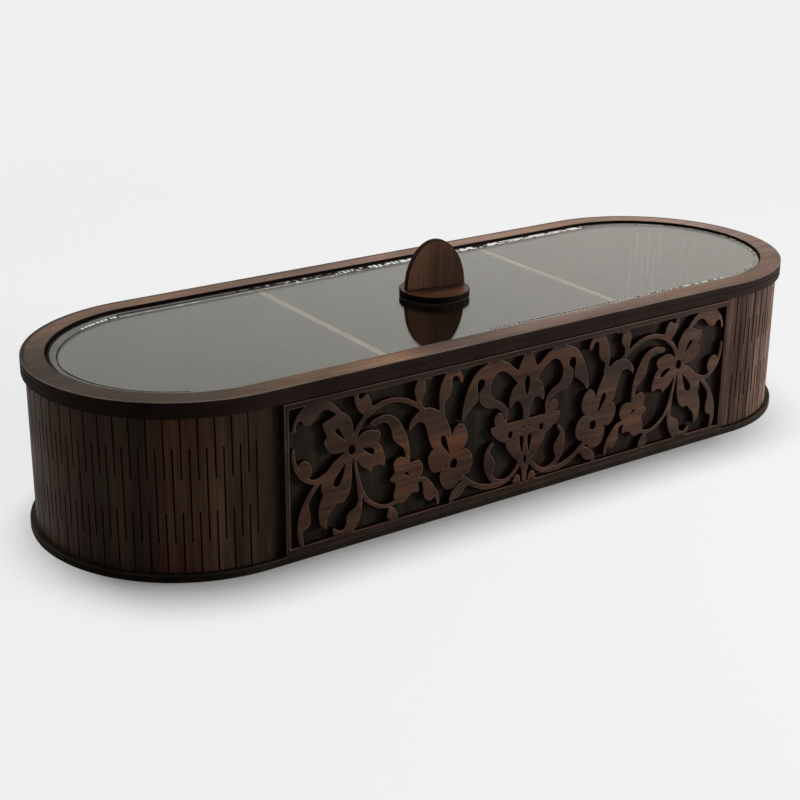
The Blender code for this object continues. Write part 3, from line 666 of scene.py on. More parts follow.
@dataclass(frozen=True)
class WallLook:
    """Slits and tints of one half of the side wall.

    Attributes:
        veneer: Dark, middle and light tint of the veneer.
        leanings: Tints by which warm and cool strips are multiplied.
        slit: Dark and light tint of the slits' sides, on the right half darkened as painted shade in the
            slits.
        thin_run: Run at which the stain is thinnest.
        thin_lift: How much lighter the thin stain is.
        thin_tint: Tint by which the thin stain is multiplied.
        behind: Level of the part that lies behind the scroll panel, a painted shade.
        streaks: Strength of the fine grain.
        plain: Level of the plain strip beside the scroll panel.
        far_lift: How much lighter the far half of the bend is, a painted sheen.
        openings: Width of the slits on the outer face where the bend starts, and further round.
        first: Number of the first column of slits.
    """

    veneer: tuple[Colour, ...]
    leanings: tuple[Colour, ...]
    slit: tuple[Colour, ...]
    thin_run: float
    thin_lift: float
    thin_tint: Colour
    behind: float
    streaks: float
    plain: float
    far_lift: float
    openings: tuple[float, float]
    first: int


@dataclass(frozen=True)
class SlitWallVeneer(Finish):
    """Finish of the bent walls, whose strips differ a little in tint.

    A run is a distance along the outer face from the start of the bend.

    Attributes:
        look: Tints and levels of this half of the wall.
        pitch: Width of a strip.
        back_run: Run at which the plain back starts.
        back_blend: Length over which the grain grows calm before the back.
        panel_run: Run at which the scroll panel ends.
        panel_shadow: Distances from the panel between which its shadow ends.
        shadow_level: Level of that shadow.
        bend_runs: Runs between which the plain strip turns into slit strips.
        thin_reach: Distances from the thinnest stain at which thin stain ends and is full.
        far_runs: Runs between which the far half grows lighter by a painted sheen.
        strip_swing: How much the strips differ in lightness.
        behind_tint: Tint of the part that lies behind the scroll panel.
        figure: Strength of the broad figure.
        calm_streaks: Strength of the fine grain behind the panel and on the back.
        wear: How much the edges are rubbed and lit by a painted highlight.
        wear_width: Width of the rubbed and highlighted edges.
        worn_and_lit: Colour of the rubbed edges and of their painted highlight.
        roughness: Roughness where no hand has been.
        gloss: Level of the surface reflection.
    """

    look: WallLook
    pitch: float
    back_run: float
    back_blend: float = 5.0 * MM
    panel_run: float = -7.3 * MM
    panel_shadow: tuple[float, float] = (1.5 * MM, 4.5 * MM)
    shadow_level: float = 0.3
    bend_runs: tuple[float, float] = (-2.0 * MM, 4.0 * MM)
    thin_reach: tuple[float, float] = (18.0 * MM, 4.0 * MM)
    far_runs: tuple[float, float] = (45.0 * MM, 75.0 * MM)
    strip_swing: float = 0.45
    behind_tint: Colour = stain(238, 246, 240)
    figure: float = 0.7
    calm_streaks: float = 0.4
    wear: float = 0.2
    wear_width: float = 0.25 * MM
    worn_and_lit: Colour = stain(96, 70, 58)
    roughness: float = 0.5
    gloss: float = 0.05

    def level(self, wiring: Wiring, run: Any, lightness: Any, behind: Any, beside_bend: Any,
              thin: Any) -> Any:
        """Return how light the veneer is, with painted shade behind and beside the scroll panel and a painted
        sheen on the far bend.

        Args:
            wiring: The material's wiring.
            run: Run of the place.
            lightness: Lightness of the strip.
            behind: Mask of the part behind the scroll panel.
            beside_bend: Mask of the slit strips.
            thin: Mask of the thin stain.

        Returns:
            The level by which the colour is multiplied.
        """
        look = self.look
        level = wiring.maths("MULTIPLY_ADD", lightness, self.strip_swing, look.plain)
        level = wiring.maths("ADD", level, wiring.product(beside_bend, 1.0 - look.plain))
        level = wiring.maths("ADD", level, wiring.product(thin, look.thin_lift))
        level = wiring.maths("ADD", level, wiring.ramp(run, *self.far_runs, 0.0, look.far_lift))
        near, far = (self.panel_run + distance for distance in self.panel_shadow)
        beside_panel = wiring.ramp(run, near, far, self.shadow_level, smooth=True)
        level = wiring.product(level, wiring.maths("MAXIMUM", beside_panel, behind))
        return wiring.product(level, wiring.ramp(behind, 0.0, 1.0, 1.0, look.behind))

    def paint(self, wiring: Wiring, shader: Node, effects: EffectLibrary) -> None:
        """Set the colour, the roughness and the bump."""
        look = self.look
        run, height = wiring.parts(wiring.add("ShaderNodeUVMap", uv_map="run").outputs[0])[:2]
        place = wiring.point(height, run, 0.0)
        strips = wiring.group(effects.strips, Run=run, Height=height, Pitch=self.pitch)
        behind = wiring.maths("LESS_THAN", run, self.panel_run)
        at_back = wiring.ramp(run, self.back_run - self.back_blend, self.back_run)
        calm = wiring.maths("MAXIMUM", behind, at_back)
        dark, middle, light = look.veneer
        grain = wiring.group(effects.grain, Place=place, Dark=dark, Middle=middle, Light=light,
                             Figure=self.figure,
                             Streaks=wiring.ramp(calm, 0.0, 1.0, look.streaks, self.calm_streaks))
        beside_bend = wiring.ramp(run, *self.bend_runs)
        away = wiring.maths("ABSOLUTE", wiring.maths("SUBTRACT", run, look.thin_run))
        thin = wiring.ramp(away, *self.thin_reach, smooth=True)
        warmth = wiring.maths("MULTIPLY", strips["Warmth"], beside_bend, clamp=True)
        warm, cool = look.leanings
        tinted = wiring.mix(1.0, grain["Colour"], wiring.mix(warmth, cool, warm), "MULTIPLY")
        tinted = wiring.mix(thin, tinted, look.thin_tint, "MULTIPLY")
        tinted = wiring.mix(behind, tinted, self.behind_tint, "MULTIPLY")
        level = self.level(wiring, run, strips["Lightness"], behind, beside_bend, thin)
        shaded = wiring.scaled(tinted, level)
        # Rubbed stain and a painted highlight along the edges of the strips.
        worn_and_lit = wiring.group(effects.softened, Place=place, Width=self.wear_width, Amount=self.wear)
        wiring.feed(shader.inputs["Base Color"], wiring.mix(worn_and_lit["Mask"], shaded, self.worn_and_lit))
        hands = wiring.group(effects.handling, Place=place)
        WALL_RELIEF.put_on(wiring, shader, hands, grain["Height"], self.roughness, self.gloss, grain["Pores"])


@dataclass(frozen=True)
class ClearSheet(Finish):
    """Finish of the clear acrylic lid, a little duller where hands have been.

    Attributes:
        tint: Colour of the sheet.
        roughness: Roughness where no hand has been.
        smudges: Levels of the smudge noise at which a smudge starts and is full.
        smudge_roughness: Roughness that a full smudge adds.
        refraction: Index of refraction.
    """

    tint: Colour
    roughness: float = 0.02
    smudges: tuple[float, float] = (0.1, 0.5)
    smudge_roughness: float = 0.03
    refraction: float = 1.49

    def paint(self, wiring: Wiring, shader: Node, effects: EffectLibrary) -> None:
        """Set the colour, the roughness, the refraction and the transmission."""
        hands = wiring.group(effects.handling, Place=wiring.here())
        smudge = wiring.ramp(hands["Smudge"], *self.smudges, 0.0, self.smudge_roughness)
        shader.inputs["Base Color"].default_value = self.tint
        wiring.feed(shader.inputs["Roughness"], wiring.maths("ADD", smudge, self.roughness))
        shader.inputs["IOR"].default_value = self.refraction
        shader.inputs["Transmission Weight"].default_value = 1.0


def round_ended(length: float, width: float, steps: int) -> Outline:
    """Return a closed outline with two straight sides and two half-round ends.

    Args:
        length: Overall length.
        width: Overall width, which is also twice the end radius.
        steps: Steps round each end.

    Returns:
        The outline's points, running anticlockwise.
    """
    radius = width / 2
    centre = length / 2 - radius
    points: Outline = []
    for side in (1, -1):
        for step in range(steps + 1):
            angle = math.pi * (step / steps - 0.5)
            across, along = radius * math.sin(angle), centre + radius * math.cos(angle)
            points.append(Vector((side * along, side * across)))
    return points


def add_object(name: str, data: Any) -> Object:
    """Make an object of some data and put it in the scene."""
    made = bpy.data.objects.new(name, data)
    bpy.context.scene.collection.objects.link(made)
    return made


def object_of(form: bmesh.types.BMesh, name: str) -> Object:
    """Turn a form into an object of the scene and free the form."""
    mesh = bpy.data.meshes.new(name)
    form.to_mesh(mesh)
    form.free()
    return add_object(name, mesh)


def soften_normals(mesh: Mesh, sharp: float) -> None:
    """Shade a board smooth across its small roundings while its broad faces stay flat.

    Args:
        mesh: The board's mesh.
        sharp: Angle from which an edge stays sharp.
    """
    mesh.shade_smooth()
    mesh.set_sharp_from_angle(angle=sharp)


def settled(piece: Object) -> Object:
    """Apply a piece's modifiers and its placement to its mesh.

    Args:
        piece: A curve or mesh object in its place.

    Returns:
        A mesh object at the origin with the same shape and name.
    """
    bpy.context.view_layer.update()
    graph = bpy.context.evaluated_depsgraph_get()
    mesh = bpy.data.meshes.new_from_object(piece.evaluated_get(graph))
    mesh.transform(piece.matrix_world)
    name = piece.name
    bpy.data.objects.remove(piece)
    return add_object(name, mesh)


def welded(piece: Object, reach: float = 0.002 * MM) -> None:
    """Join the loose caps of a mesh that was made from a curve, and turn its faces outward."""
    form = bmesh.new()
    form.from_mesh(piece.data)
    bmesh.ops.remove_doubles(form, verts=form.verts, dist=reach)
    bmesh.ops.recalc_face_normals(form, faces=form.faces)
    form.to_mesh(piece.data)
    form.free()


@dataclass
class Sheet:
    """A board cut from sheet stock, with softened edges.

    Its faces take three material slots: 0 on the broad faces, 1 on the cut edges and 2 on the roundings.

    Attributes:
        name: Name of the piece.
        outlines: Closed outlines in the board's own plane, holes included.
        thickness: Thickness of the sheet.
        softness: Radius of the softened edges.
        matrix: Place of the middle of the sheet's thickness.
    """

    name: str
    outlines: Sequence[Outline]
    thickness: float
    softness: float
    matrix: Matrix

    def build(self) -> Object:
        """Build the board as one closed mesh."""
        curve = bpy.data.curves.new(self.name, "CURVE")
        curve.dimensions = "2D"
        curve.fill_mode = "BOTH"
        curve.extrude = self.thickness / 2 - self.softness
        curve.bevel_depth = self.softness
        curve.bevel_resolution = 1
        curve.offset = -self.softness
        for outline in self.outlines:
            spline = curve.splines.new("POLY")
            spline.points.add(len(outline) - 1)
            for point, place in zip(spline.points, outline):
                point.co = (place.x, place.y, 0.0, 1.0)
            spline.use_cyclic_u = True
        piece = add_object(self.name, curve)
        piece.matrix_world = self.matrix
        made = settled(piece)
        welded(made)
        through = (self.matrix.to_3x3() @ Vector((0.0, 0.0, 1.0))).normalized()
        for face in made.data.polygons:
            across = abs(face.normal.dot(through))
            face.material_index = 0 if across > FLAT_FACING else (1 if across < EDGE_FACING else 2)
        soften_normals(made.data, SHARP_SHEET)
        weighted = made.modifiers.new("Flat faces", "WEIGHTED_NORMAL")
        weighted.keep_sharp = True
        weighted.weight = 100
        return settled(made)


def lying(height: float) -> Matrix:
    """Return the placement of a sheet that lies flat at a height."""
    return Matrix.Translation((0.0, 0.0, height))


def facing_front(depth: float) -> Matrix:
    """Return the placement of a sheet that stands along X at a depth."""
    return Matrix.Translation((0.0, depth, 0.0)) @ Matrix.Rotation(math.pi / 2, 4, "X")


def facing_side(along: float) -> Matrix:
    """Return the placement of a sheet that stands across the box at a place along it."""
    turn = Matrix.Rotation(math.pi / 2, 4, "Z") @ Matrix.Rotation(math.pi / 2, 4, "X")
    return Matrix.Translation((along, 0.0, 0.0)) @ turn


def extent(node: str) -> tuple[Vector, Vector, Vector]:
    """Return the size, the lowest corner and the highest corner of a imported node."""
    low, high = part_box(node)
    return high - low, low, high


def finish_piece(piece: Object, finishes: Sequence[Finish], effects: EffectLibrary, node: str,
                 body: str) -> None:
    """Dress a piece, put it in a node's stead and let it ride on its body.

    Args:
        piece: The finished mesh.
        finishes: Its finishes, in the order of its faces' slots.
        effects: The shared shader effects.
        node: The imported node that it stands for.
        body: The body that it moves with.
    """
    for finish in finishes:
        piece.data.materials.append(finish.material(effects))
    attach(piece, body)
    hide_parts(node)
    log.info("%s stands for %s on %s, %d faces", piece.name, node, body, len(piece.data.polygons))


def node_borders(node: str) -> list[Outline]:
    """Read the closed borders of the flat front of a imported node.

    Args:
        node: A node whose front is one flat face that looks along -Y.

    Returns:
        The borders as points of X and Z.
    """
    form = bmesh.new()
    form.from_mesh(frame["nodes"][node].data)
    bmesh.ops.remove_doubles(form, verts=form.verts, dist=0.001 * MM)
    form.normal_update()
    front = {face for face in form.faces if face.normal.y < -0.99}
    borders = [edge for edge in form.edges if sum(face in front for face in edge.link_faces) == 1]
    beside: dict[Any, list[Any]] = {}
    for edge in borders:
        first, second = edge.verts
        beside.setdefault(first, []).append(second)
        beside.setdefault(second, []).append(first)
    outlines: list[Outline] = []
    unseen = dict.fromkeys(sorted(beside, key=lambda vert: vert.index))
    while unseen:
        start = next(iter(unseen))
        loop = [start]
        unseen.pop(start)
        while True:
            onward = [vert for vert in beside[loop[-1]] if vert in unseen]
            if not onward:
                break
            loop.append(onward[0])
            unseen.pop(onward[0])
        outlines.append([Vector((vert.co.x, vert.co.z)) for vert in loop])
    form.free()
    return outlines


def rounded_out(outline: Outline, corner: float, between: int) -> Outline:
    """Put points between those of a faceted outline so that it runs smoothly.

    Args:
        outline: A closed outline.
        corner: Turn from which a point stays a sharp corner.
        between: Steps from one old point to the next.

    Returns:
        The smoother outline.
    """
    count = len(outline)
    sides = [outline[(index + 1) % count] - outline[index] for index in range(count)]
    slopes: list[tuple[Vector, Vector]] = []
    for index in range(count):
        before, after = sides[index - 1], sides[index]
        if before.angle(after, 0.0) > corner:
            slopes.append((before, after))
        else:
            heading = (before.normalized() + after.normalized()).normalized()
            slopes.append((heading * before.length, heading * after.length))
    smooth: Outline = []
    for index in range(count):
        start, end = outline[index], outline[(index + 1) % count]
        leaving, arriving = slopes[index][1], slopes[(index + 1) % count][0]
        for step in range(between):
            share = step / between
            square, cube = share ** 2, share ** 3
            smooth.append(start * (2 * cube - 3 * square + 1) + leaving * (cube - 2 * square + share)
                          + end * (3 * square - 2 * cube) + arriving * (cube - square))
    return smooth


@dataclass
class Base:
    """The flat base board."""

    softness: float = 0.3 * MM
    end_steps: int = 72

    def build(self) -> Object:
        """Build the board in the base node's place."""
        size, low, high = extent("base_plate")
        outline = round_ended(size.x, size.y, self.end_steps)
        return Sheet("base_board", [outline], size.z, self.softness, lying((low.z + high.z) / 2)).build()

    def dress(self, piece: Object, effects: EffectLibrary) -> None:
        """Give the base its finish."""
        finishes = (
            StainedVeneer("base_veneer", stains((22, 18, 14), (34, 28, 22), (48, 39, 31)), GrainWay.ALONG,
                          (0.2, 0.1, 0.0), roughness=0.5, gloss=0.06, wear=0.15),
            CutEdge("base_edge", stains((30, 25, 19), (50, 42, 34))),
            # A painted highlight on the roundings.
            CutEdge("base_corner", stains((48, 41, 35), (84, 73, 64))))
        finish_piece(piece, finishes, effects, "base_plate", "box")


class SlitRow(Enum):
    """Slits that follow an upright line of a wall."""

    NONE = 0
    MIDDLE = 1
    EDGES = 2


@dataclass(frozen=True)
class Station:
    """One upright line of a bent wall.

    Attributes:
        run: Distance along the wall's outer face from the start of the bend.
        outer: Place of the line on the outer face.
        inner: Place of the line on the inner face.
        follows: Slits between it and the next line.
    """

    run: float
    outer: Vector
    inner: Vector
    follows: SlitRow = SlitRow.NONE


# The left half has the side -1 and the right half the side 1.
# Painted light in the looks: behind paints shade behind the panel, far_lift a sheen on the far bend, the
# right half's slit tints shade in its slits, and its lighter veneer is partly painted light from the right.
WALL_LOOKS = {
    -1: WallLook(
        veneer=stains((41, 33, 27), (71, 57, 49), (101, 82, 71)),
        leanings=stains((255, 224, 227), (233, 238, 222)), slit=stains((54, 32, 24), (90, 56, 43)),
        thin_run=28.0 * MM, thin_lift=1.1, thin_tint=stain(255, 241, 230), behind=0.86, streaks=0.7,
        plain=0.46, far_lift=0.6, openings=(0.62 * MM, 0.62 * MM), first=1),
    1: WallLook(
        veneer=stains((39, 29, 25), (78, 62, 55), (131, 111, 99)),
        leanings=stains((255, 234, 222), (250, 230, 219)), slit=stains((12, 7, 6), (26, 14, 11)),
        thin_run=33.0 * MM, thin_lift=0.72, thin_tint=stain(248, 250, 240), behind=0.36, streaks=1.3,
        plain=0.76, far_lift=0.0, openings=(0.55 * MM, 0.8 * MM), first=0),
}


@dataclass
class Walls:
    """The two halves of the side wall, bent round the ends through upright slits.

    The slits are cut with straight sides; the bend opens them outside and closes them inside.
    """

    board: float = 3.0 * MM
    pitches: int = 31
    inner_slit: float = 0.04 * MM
    edge_slit: float = 23.7 * MM
    middle_slit: float = 36.5 * MM
    seam: float = 0.02 * MM
    opened: tuple[float, float] = (2.0 * MM, 14.0 * MM)
    joint: float = 0.28 * MM
    inside_tones: tuple[Colour, ...] = stains((44, 37, 31), (70, 58, 50), (92, 77, 67))

    def measure(self, node: str) -> tuple[float, float, Vector, Vector]:
        """Return the bend's radius and centre, and the node's lowest and highest corner."""
        size, low, high = extent(node)
        radius = size.y / 2
        centre = max(abs(low.x), abs(high.x)) - radius
        return radius, centre, low, high

    def levels(self, height: float) -> list[float]:
        """Return the heights at which the slits of a wall start and end."""
        margin = (height - self.middle_slit) / 2
        return sorted((0.0, self.edge_slit, margin, height - margin, height - self.edge_slit, height))

    def stations(self, radius: float, centre: float, look: WallLook) -> list[Station]:
        """List the wall's upright lines from its front seam to its back seam.

        Args:
            radius: Outer radius of the bend.
            centre: Distance of the bend's centre from the middle of the box.
            look: Slits of this half.

        Returns:
            The lines in order.
        """
        inside = radius - self.board

        def at(run: float, opening: float = 0.0, follows: SlitRow = SlitRow.NONE) -> Station:
            start, end = self.opened
            share = min(max((run - start) / (end - start), 0.0), 1.0)
            narrow, wide = look.openings
            width = narrow + share * (wide - narrow)
            outer = (run + opening * width / 2) / radius
            inner = run / radius + opening * self.inner_slit / 2 / inside
            return Station(
                run + opening * width / 2,
                Vector((centre + radius * math.sin(outer), -radius * math.cos(outer))),
                Vector((centre + inside * math.sin(inner), -inside * math.cos(inner))), follows)

        bend = math.pi * radius
        lines = [Station(-centre, Vector((self.seam, -radius)), Vector((self.seam, -inside)))]
        if look.first:
            lines.append(at(0.0))
        for column in range(look.first, 2 * self.pitches):
            middle = column * bend / self.pitches / 2
            lines.append(at(middle, -1.0, SlitRow.MIDDLE if column % 2 else SlitRow.EDGES))
            lines.append(at(middle, 1.0))
        lines.append(at(bend))
        lines.append(Station(bend + centre, Vector((self.seam, radius)), Vector((self.seam, inside))))
        return lines

    def is_open(self, follows: SlitRow, middle: float, height: float) -> bool:
        """Tell whether a slit passes a height of the wall."""
        if follows is SlitRow.MIDDLE:
            return abs(middle - height / 2) < self.middle_slit / 2
        return follows is SlitRow.EDGES and min(middle, height - middle) < self.edge_slit

    def build(self, name: str, node: str, side: int) -> Object:
        """Build one wall half.

        Args:
            name: Name of the piece.
            node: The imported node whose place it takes.
            side: -1 for the left half and 1 for the right half.

        Returns:
            The wall half as one closed mesh.
        """
        radius, centre, low, high = self.measure(node)
        height = high.z - low.z
        levels = self.levels(height)
        lines = self.stations(radius, centre, WALL_LOOKS[side])
        heights = [low.z + level for level in levels]
        heights[0] -= self.joint
        heights[-1] += self.joint
        form = bmesh.new()
        run_layer = form.loops.layers.uv.new("run")
        skins = [[[form.verts.new((side * place.x, place.y, level)) for level in heights]
                  for place in (line.outer if skin == 0 else line.inner for line in lines)]
                 for skin in range(2)]
        spots = {vert: (line.run, level) for skin in skins for line, column in zip(lines, skin)
                 for vert, level in zip(column, levels)}

        def cover(corners: Sequence[Any], slot: int) -> None:
            face = form.faces.new(corners if side > 0 else tuple(reversed(corners)))
            face.material_index = slot
            for loop in face.loops:
                loop[run_layer].uv = spots[loop.vert]

        partners = dict(zip((vert for column in skins[0] for vert in column),
                            (vert for column in skins[1] for vert in column)))
        for index, line in enumerate(lines[:-1]):
            for row in range(len(levels) - 1):
                if self.is_open(line.follows, (levels[row] + levels[row + 1]) / 2, height):
                    continue
                here, beyond = skins[0][index], skins[0][index + 1]
                corners = (here[row], beyond[row], beyond[row + 1], here[row + 1])
                cover(corners, 0)
                cover([partners[corner] for corner in reversed(corners)], 2)
        rims = [edge for edge in form.edges if len(edge.link_faces) == 1 and edge.verts[0] in partners]
        for edge in rims:
            loop = edge.link_loops[0]
            start, end = loop.vert, loop.link_loop_next.vert
            around = (start, end) if side < 0 else (end, start)
            cover((around[0], around[1], partners[around[1]], partners[around[0]]), 1)
        bmesh.ops.delete(form, geom=[vert for vert in form.verts if not vert.link_faces], context="VERTS")
        bmesh.ops.recalc_face_normals(form, faces=form.faces)
        piece = object_of(form, name)
        soften_normals(piece.data, SHARP_WALL)
        return piece

    def dress(self, piece: Object, node: str, side: int, effects: EffectLibrary) -> None:
        """Give a wall half its finish."""
        look = WALL_LOOKS[side]
        bend = math.pi * self.measure(node)[0]
        finishes = (
            SlitWallVeneer(piece.name + "_veneer", look, bend / self.pitches / 2, bend),
            CutEdge(piece.name + "_slit", look.slit),
            StainedVeneer(piece.name + "_inside", self.inside_tones, GrainWay.UPRIGHT, figure=0.4,
                          streaks=0.3, roughness=0.6, gloss=0.03, wear=0.0, clouds=0.1, drift=0.3))
        finish_piece(piece, finishes, effects, node, "box")


@dataclass
class ScrollPanel:
    """The cut panel of scrolls and flowers on the front."""

    joint: float = 0.28 * MM
    softness: float = 0.25 * MM
    corner: float = math.radians(50)
    between: int = 2
    frame: float = 3.6 * MM
    full_share: float = 0.8
    frame_shade: float = 0.55
    foot_shade: float = 0.3
    patches: tuple[StainAndLightPatch, ...] = (
        StainAndLightPatch((0.1, -0.06, 0.035), 0.06, (1.35, 1.3, 1.27, 1.0)),
        StainAndLightPatch((0.0, -0.06, 0.035), 0.05, (0.86, 0.84, 0.84, 1.0)),
        StainAndLightPatch((-0.052, -0.06, 0.026), 0.02, (1.6, 1.28, 1.0, 1.0)))

    def build(self) -> Object:
        """Build the panel with smooth outlines and softened edges."""
        size, low, high = extent("front_fretwork")
        borders = node_borders("front_fretwork")
        outlines = [rounded_out(border, self.corner, self.between) for border in borders]
        log.info("scroll panel has %d borders", len(outlines))
        placed = facing_front((low.y + high.y + self.joint) / 2)
        return Sheet("scroll_panel", outlines, size.y + self.joint, self.softness, placed).build()

    def dress(self, piece: Object, effects: EffectLibrary) -> None:
        """Give the panel its finish."""
        size, low, high = extent("front_fretwork")
        middle = (low + high) / 2
        # Painted shade along the frame's strips, with more along its foot.
        clear, full = -self.frame, -self.full_share * self.frame
        frame_edge = BorderShade(tuple(middle), (size.x / 2, ENDLESS, size.z / 2), self.frame, clear, full,
                                 self.frame_shade)
        foot = BorderShade((middle.x, middle.y, high.z), (ENDLESS, ENDLESS, size.z), self.frame, clear, full,
                           self.foot_shade)
        finishes = (
            StainedVeneer("scroll_veneer", stains((42, 30, 25), (65, 48, 39), (94, 69, 56)), GrainWay.ALONG,
                          (0.05, 0.4, 0.13), figure=0.7, roughness=0.5, gloss=0.06, wear=0.3,
                          patches=self.patches, clouds=0.25, drift=1.0, shades=(frame_edge, foot),
                          shade_tint=(0.13, 0.14, 0.15, 1.0)),
            CutEdge("scroll_edge", stains((30, 13, 11), (56, 28, 23)), FaceWay.FRONT),
            # A painted highlight on the roundings of the cuts.
            CutEdge("scroll_corner", stains((82, 63, 56), (132, 105, 93)), FaceWay.FRONT))
        finish_piece(piece, finishes, effects, "front_fretwork", "box")


@dataclass
class Rim:
    """The ledge ring that carries the lid and the ring round it."""

    band: float = 9.5 * MM
    ledge_reach: float = 2.5 * MM
    joint: float = 0.28 * MM
    softness: float = 0.3 * MM
    joint_softness: float = 0.05 * MM
    back_facing: float = 0.2
    end_steps: int = 96
    # Painted light on the top: the first patch is shade over the left front end, the second a sheen over the
    # back right; the rest make smaller areas lighter or darker.
    patches: tuple[StainAndLightPatch, ...] = (
        StainAndLightPatch((-0.175, -0.025, 0.07), 0.088, (0.2, 0.25, 0.28, 1.0), 0.85),
        StainAndLightPatch((0.13, 0.055, 0.07), 0.1, (2.38, 2.42, 2.5, 1.0)),
        StainAndLightPatch((0.175, 0.0, 0.07), 0.06, (1.0, 1.08, 1.28, 1.0)),
        StainAndLightPatch((-0.1, 0.057, 0.07), 0.07, (1.18, 1.15, 1.12, 1.0)),
        StainAndLightPatch((-0.03, -0.057, 0.07), 0.022, (0.6, 0.62, 0.68, 1.0)),
        StainAndLightPatch((-0.085, -0.057, 0.07), 0.04, (1.6, 1.5, 1.3, 1.0)),
        StainAndLightPatch((0.06, -0.057, 0.07), 0.045, (1.42, 1.46, 1.58, 1.0)))
    top_tones: tuple[Colour, ...] = stains((60, 45, 36), (92, 72, 60), (123, 98, 83))
    # The ledge takes a darker copy of the top's veneer, painted shade under the lid.
    ledge_tones: tuple[Colour, ...] = stains((16, 12, 10), (26, 20, 16), (38, 30, 24))

    def build(self, name: str, node: str, band: float, raised: float, softness: float) -> Object:
        """Build one ring in a node's place.

        Args:
            name: Name of the piece.
            node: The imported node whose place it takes.
            band: Width of the ring.
            raised: How far the ring's top comes up to meet the board above.
            softness: Radius of the softened edges.

        Returns:
            The ring.
        """
        size, low, high = extent(node)
        outer = round_ended(size.x, size.y, self.end_steps)
        opening = round_ended(size.x - 2 * band, size.y - 2 * band, self.end_steps)
        middle = (low.z + high.z + raised) / 2
        ring = Sheet(name, [outer, opening], size.z + raised, softness, lying(middle)).build()
        straight = (size.x - size.y) / 2
        # Faces that look into the opening take the dark inside finish, painted shade in the gap round the
        # lid. Roundings that face down or back take the edge finish as painted shade; the rest keep the
        # corner finish, a painted highlight.
        for face in ring.data.polygons:
            spine = Vector((min(max(face.center.x, -straight), straight), 0.0, face.center.z))
            if face.material_index and face.normal.dot(spine - face.center) > 0.0:
                face.material_index = 3
            elif face.material_index == 2 and (face.normal.z < 0.0 or face.normal.y > self.back_facing):
                face.material_index = 1
        return ring

    def build_ledge(self) -> Object:
        """Build the ledge ring, glued up against the top ring."""
        return self.build("ledge_ring", "rim_ledge", self.band + self.ledge_reach, self.joint,
                          self.joint_softness)

    def build_top(self) -> Object:
        """Build the top ring."""
        return self.build("top_ring", "rim_frame", self.band, 0.0, self.softness)

    def dress(self, piece: Object, node: str, offset: Place, effects: EffectLibrary) -> None:
        """Give a ring its finish."""
        size, low, high = extent(node)
        middle = tuple((low + high) / 2)
        # Painted shade: a dark line along the back of the outer edge and another round the opening.
        outer = BorderShade(middle, (size.x / 2, size.y / 2, ENDLESS), size.y / 2, clear=-2.2 * MM,
                            full=-1.3 * MM, share=0.95, from_depth=0.0)
        hole = (size.x / 2 - self.band, size.y / 2 - self.band, ENDLESS)
        inner = BorderShade(middle, hole, hole[1], clear=0.6 * MM, full=0.2 * MM, share=0.6)
        is_top = node == "rim_frame"
        edge = CutEdge(piece.name + "_edge", stains((30, 21, 18), (52, 38, 33)))
        # The corner finish is a painted highlight on the top's roundings; the inside finish paints shade.
        corner = CutEdge(piece.name + "_corner", stains((84, 73, 64), (128, 114, 102)))
        finishes = (
            StainedVeneer(piece.name + "_veneer", self.top_tones if is_top else self.ledge_tones,
                          GrainWay.ALONG, offset, figure=0.35, streaks=0.55, gloss=0.1,
                          patches=self.patches, clouds=0.12, shades=(outer, inner)),
            edge, corner if is_top else edge,
            CutEdge(piece.name + "_inside", stains((12, 7, 5), (28, 16, 12))))
        finish_piece(piece, finishes, effects, node, "box")


@dataclass
class Dividers:
    """The two boards that part the box into three rooms.

    Attributes:
        shoulder_step: How far a board draws in under the ledge.
        softness: Radius of the softened edges.
    """

    shoulder_step: float = 7.5 * MM
    softness: float = 0.2 * MM

    def build(self, name: str, node: str) -> Object:
        """Build one divider with its shoulders under the ledge.

        Args:
            name: Name of the piece.
            node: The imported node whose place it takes.

        Returns:
            The divider.
        """
        size, low, high = extent(node)
        shoulder = extent("wall_left")[2].z
        half_low = size.y / 2
        half_high = half_low - self.shoulder_step
        corners = ((-half_low, low.z), (half_low, low.z), (half_low, shoulder), (half_high, shoulder),
                   (half_high, high.z), (-half_high, high.z), (-half_high, shoulder), (-half_low, shoulder))
        outline = [Vector(corner) for corner in corners]
        return Sheet(name, [outline], size.x, self.softness, facing_side((low.x + high.x) / 2)).build()

    def dress(self, piece: Object, node: str, effects: EffectLibrary) -> None:
        """Give a divider its finish."""
        # The pale edges paint the light that falls through the lid onto the dividers' tops.
        edge = CutEdge(piece.name + "_edge", stains((158, 144, 127), (198, 184, 164)), FaceWay.SIDE)
        veneer = StainedVeneer(piece.name + "_veneer", stains((44, 35, 29), (62, 50, 42), (84, 70, 59)),
                               GrainWay.ACROSS, roughness=0.55, gloss=0.1)
        finish_piece(piece, (veneer, edge, edge), effects, node, "box")


class LidFace(Enum):
    """Finish of a lid face by material slot; pale and silver paint glints, dark and grey paint shade."""

    CLEAR = 0
    PALE = 1
    DARK = 2
    GREY = 3
    SILVER = 4


class Jitter(Enum):
    """Noise that roughens the lid's border: its steps from point to point, and its row."""

    DEPTH = (0.61, 0.0)
    FLICKER = (0.4, 3.0)
    SLANT = (0.83, 5.0)
    EDGE_TONE = (0.23, 7.0)

    def at(self, index: int, seed: float) -> float:
        """Return the noise at a numbered point."""
        step, row = self.value
        return noise.noise((index * step, seed, row))


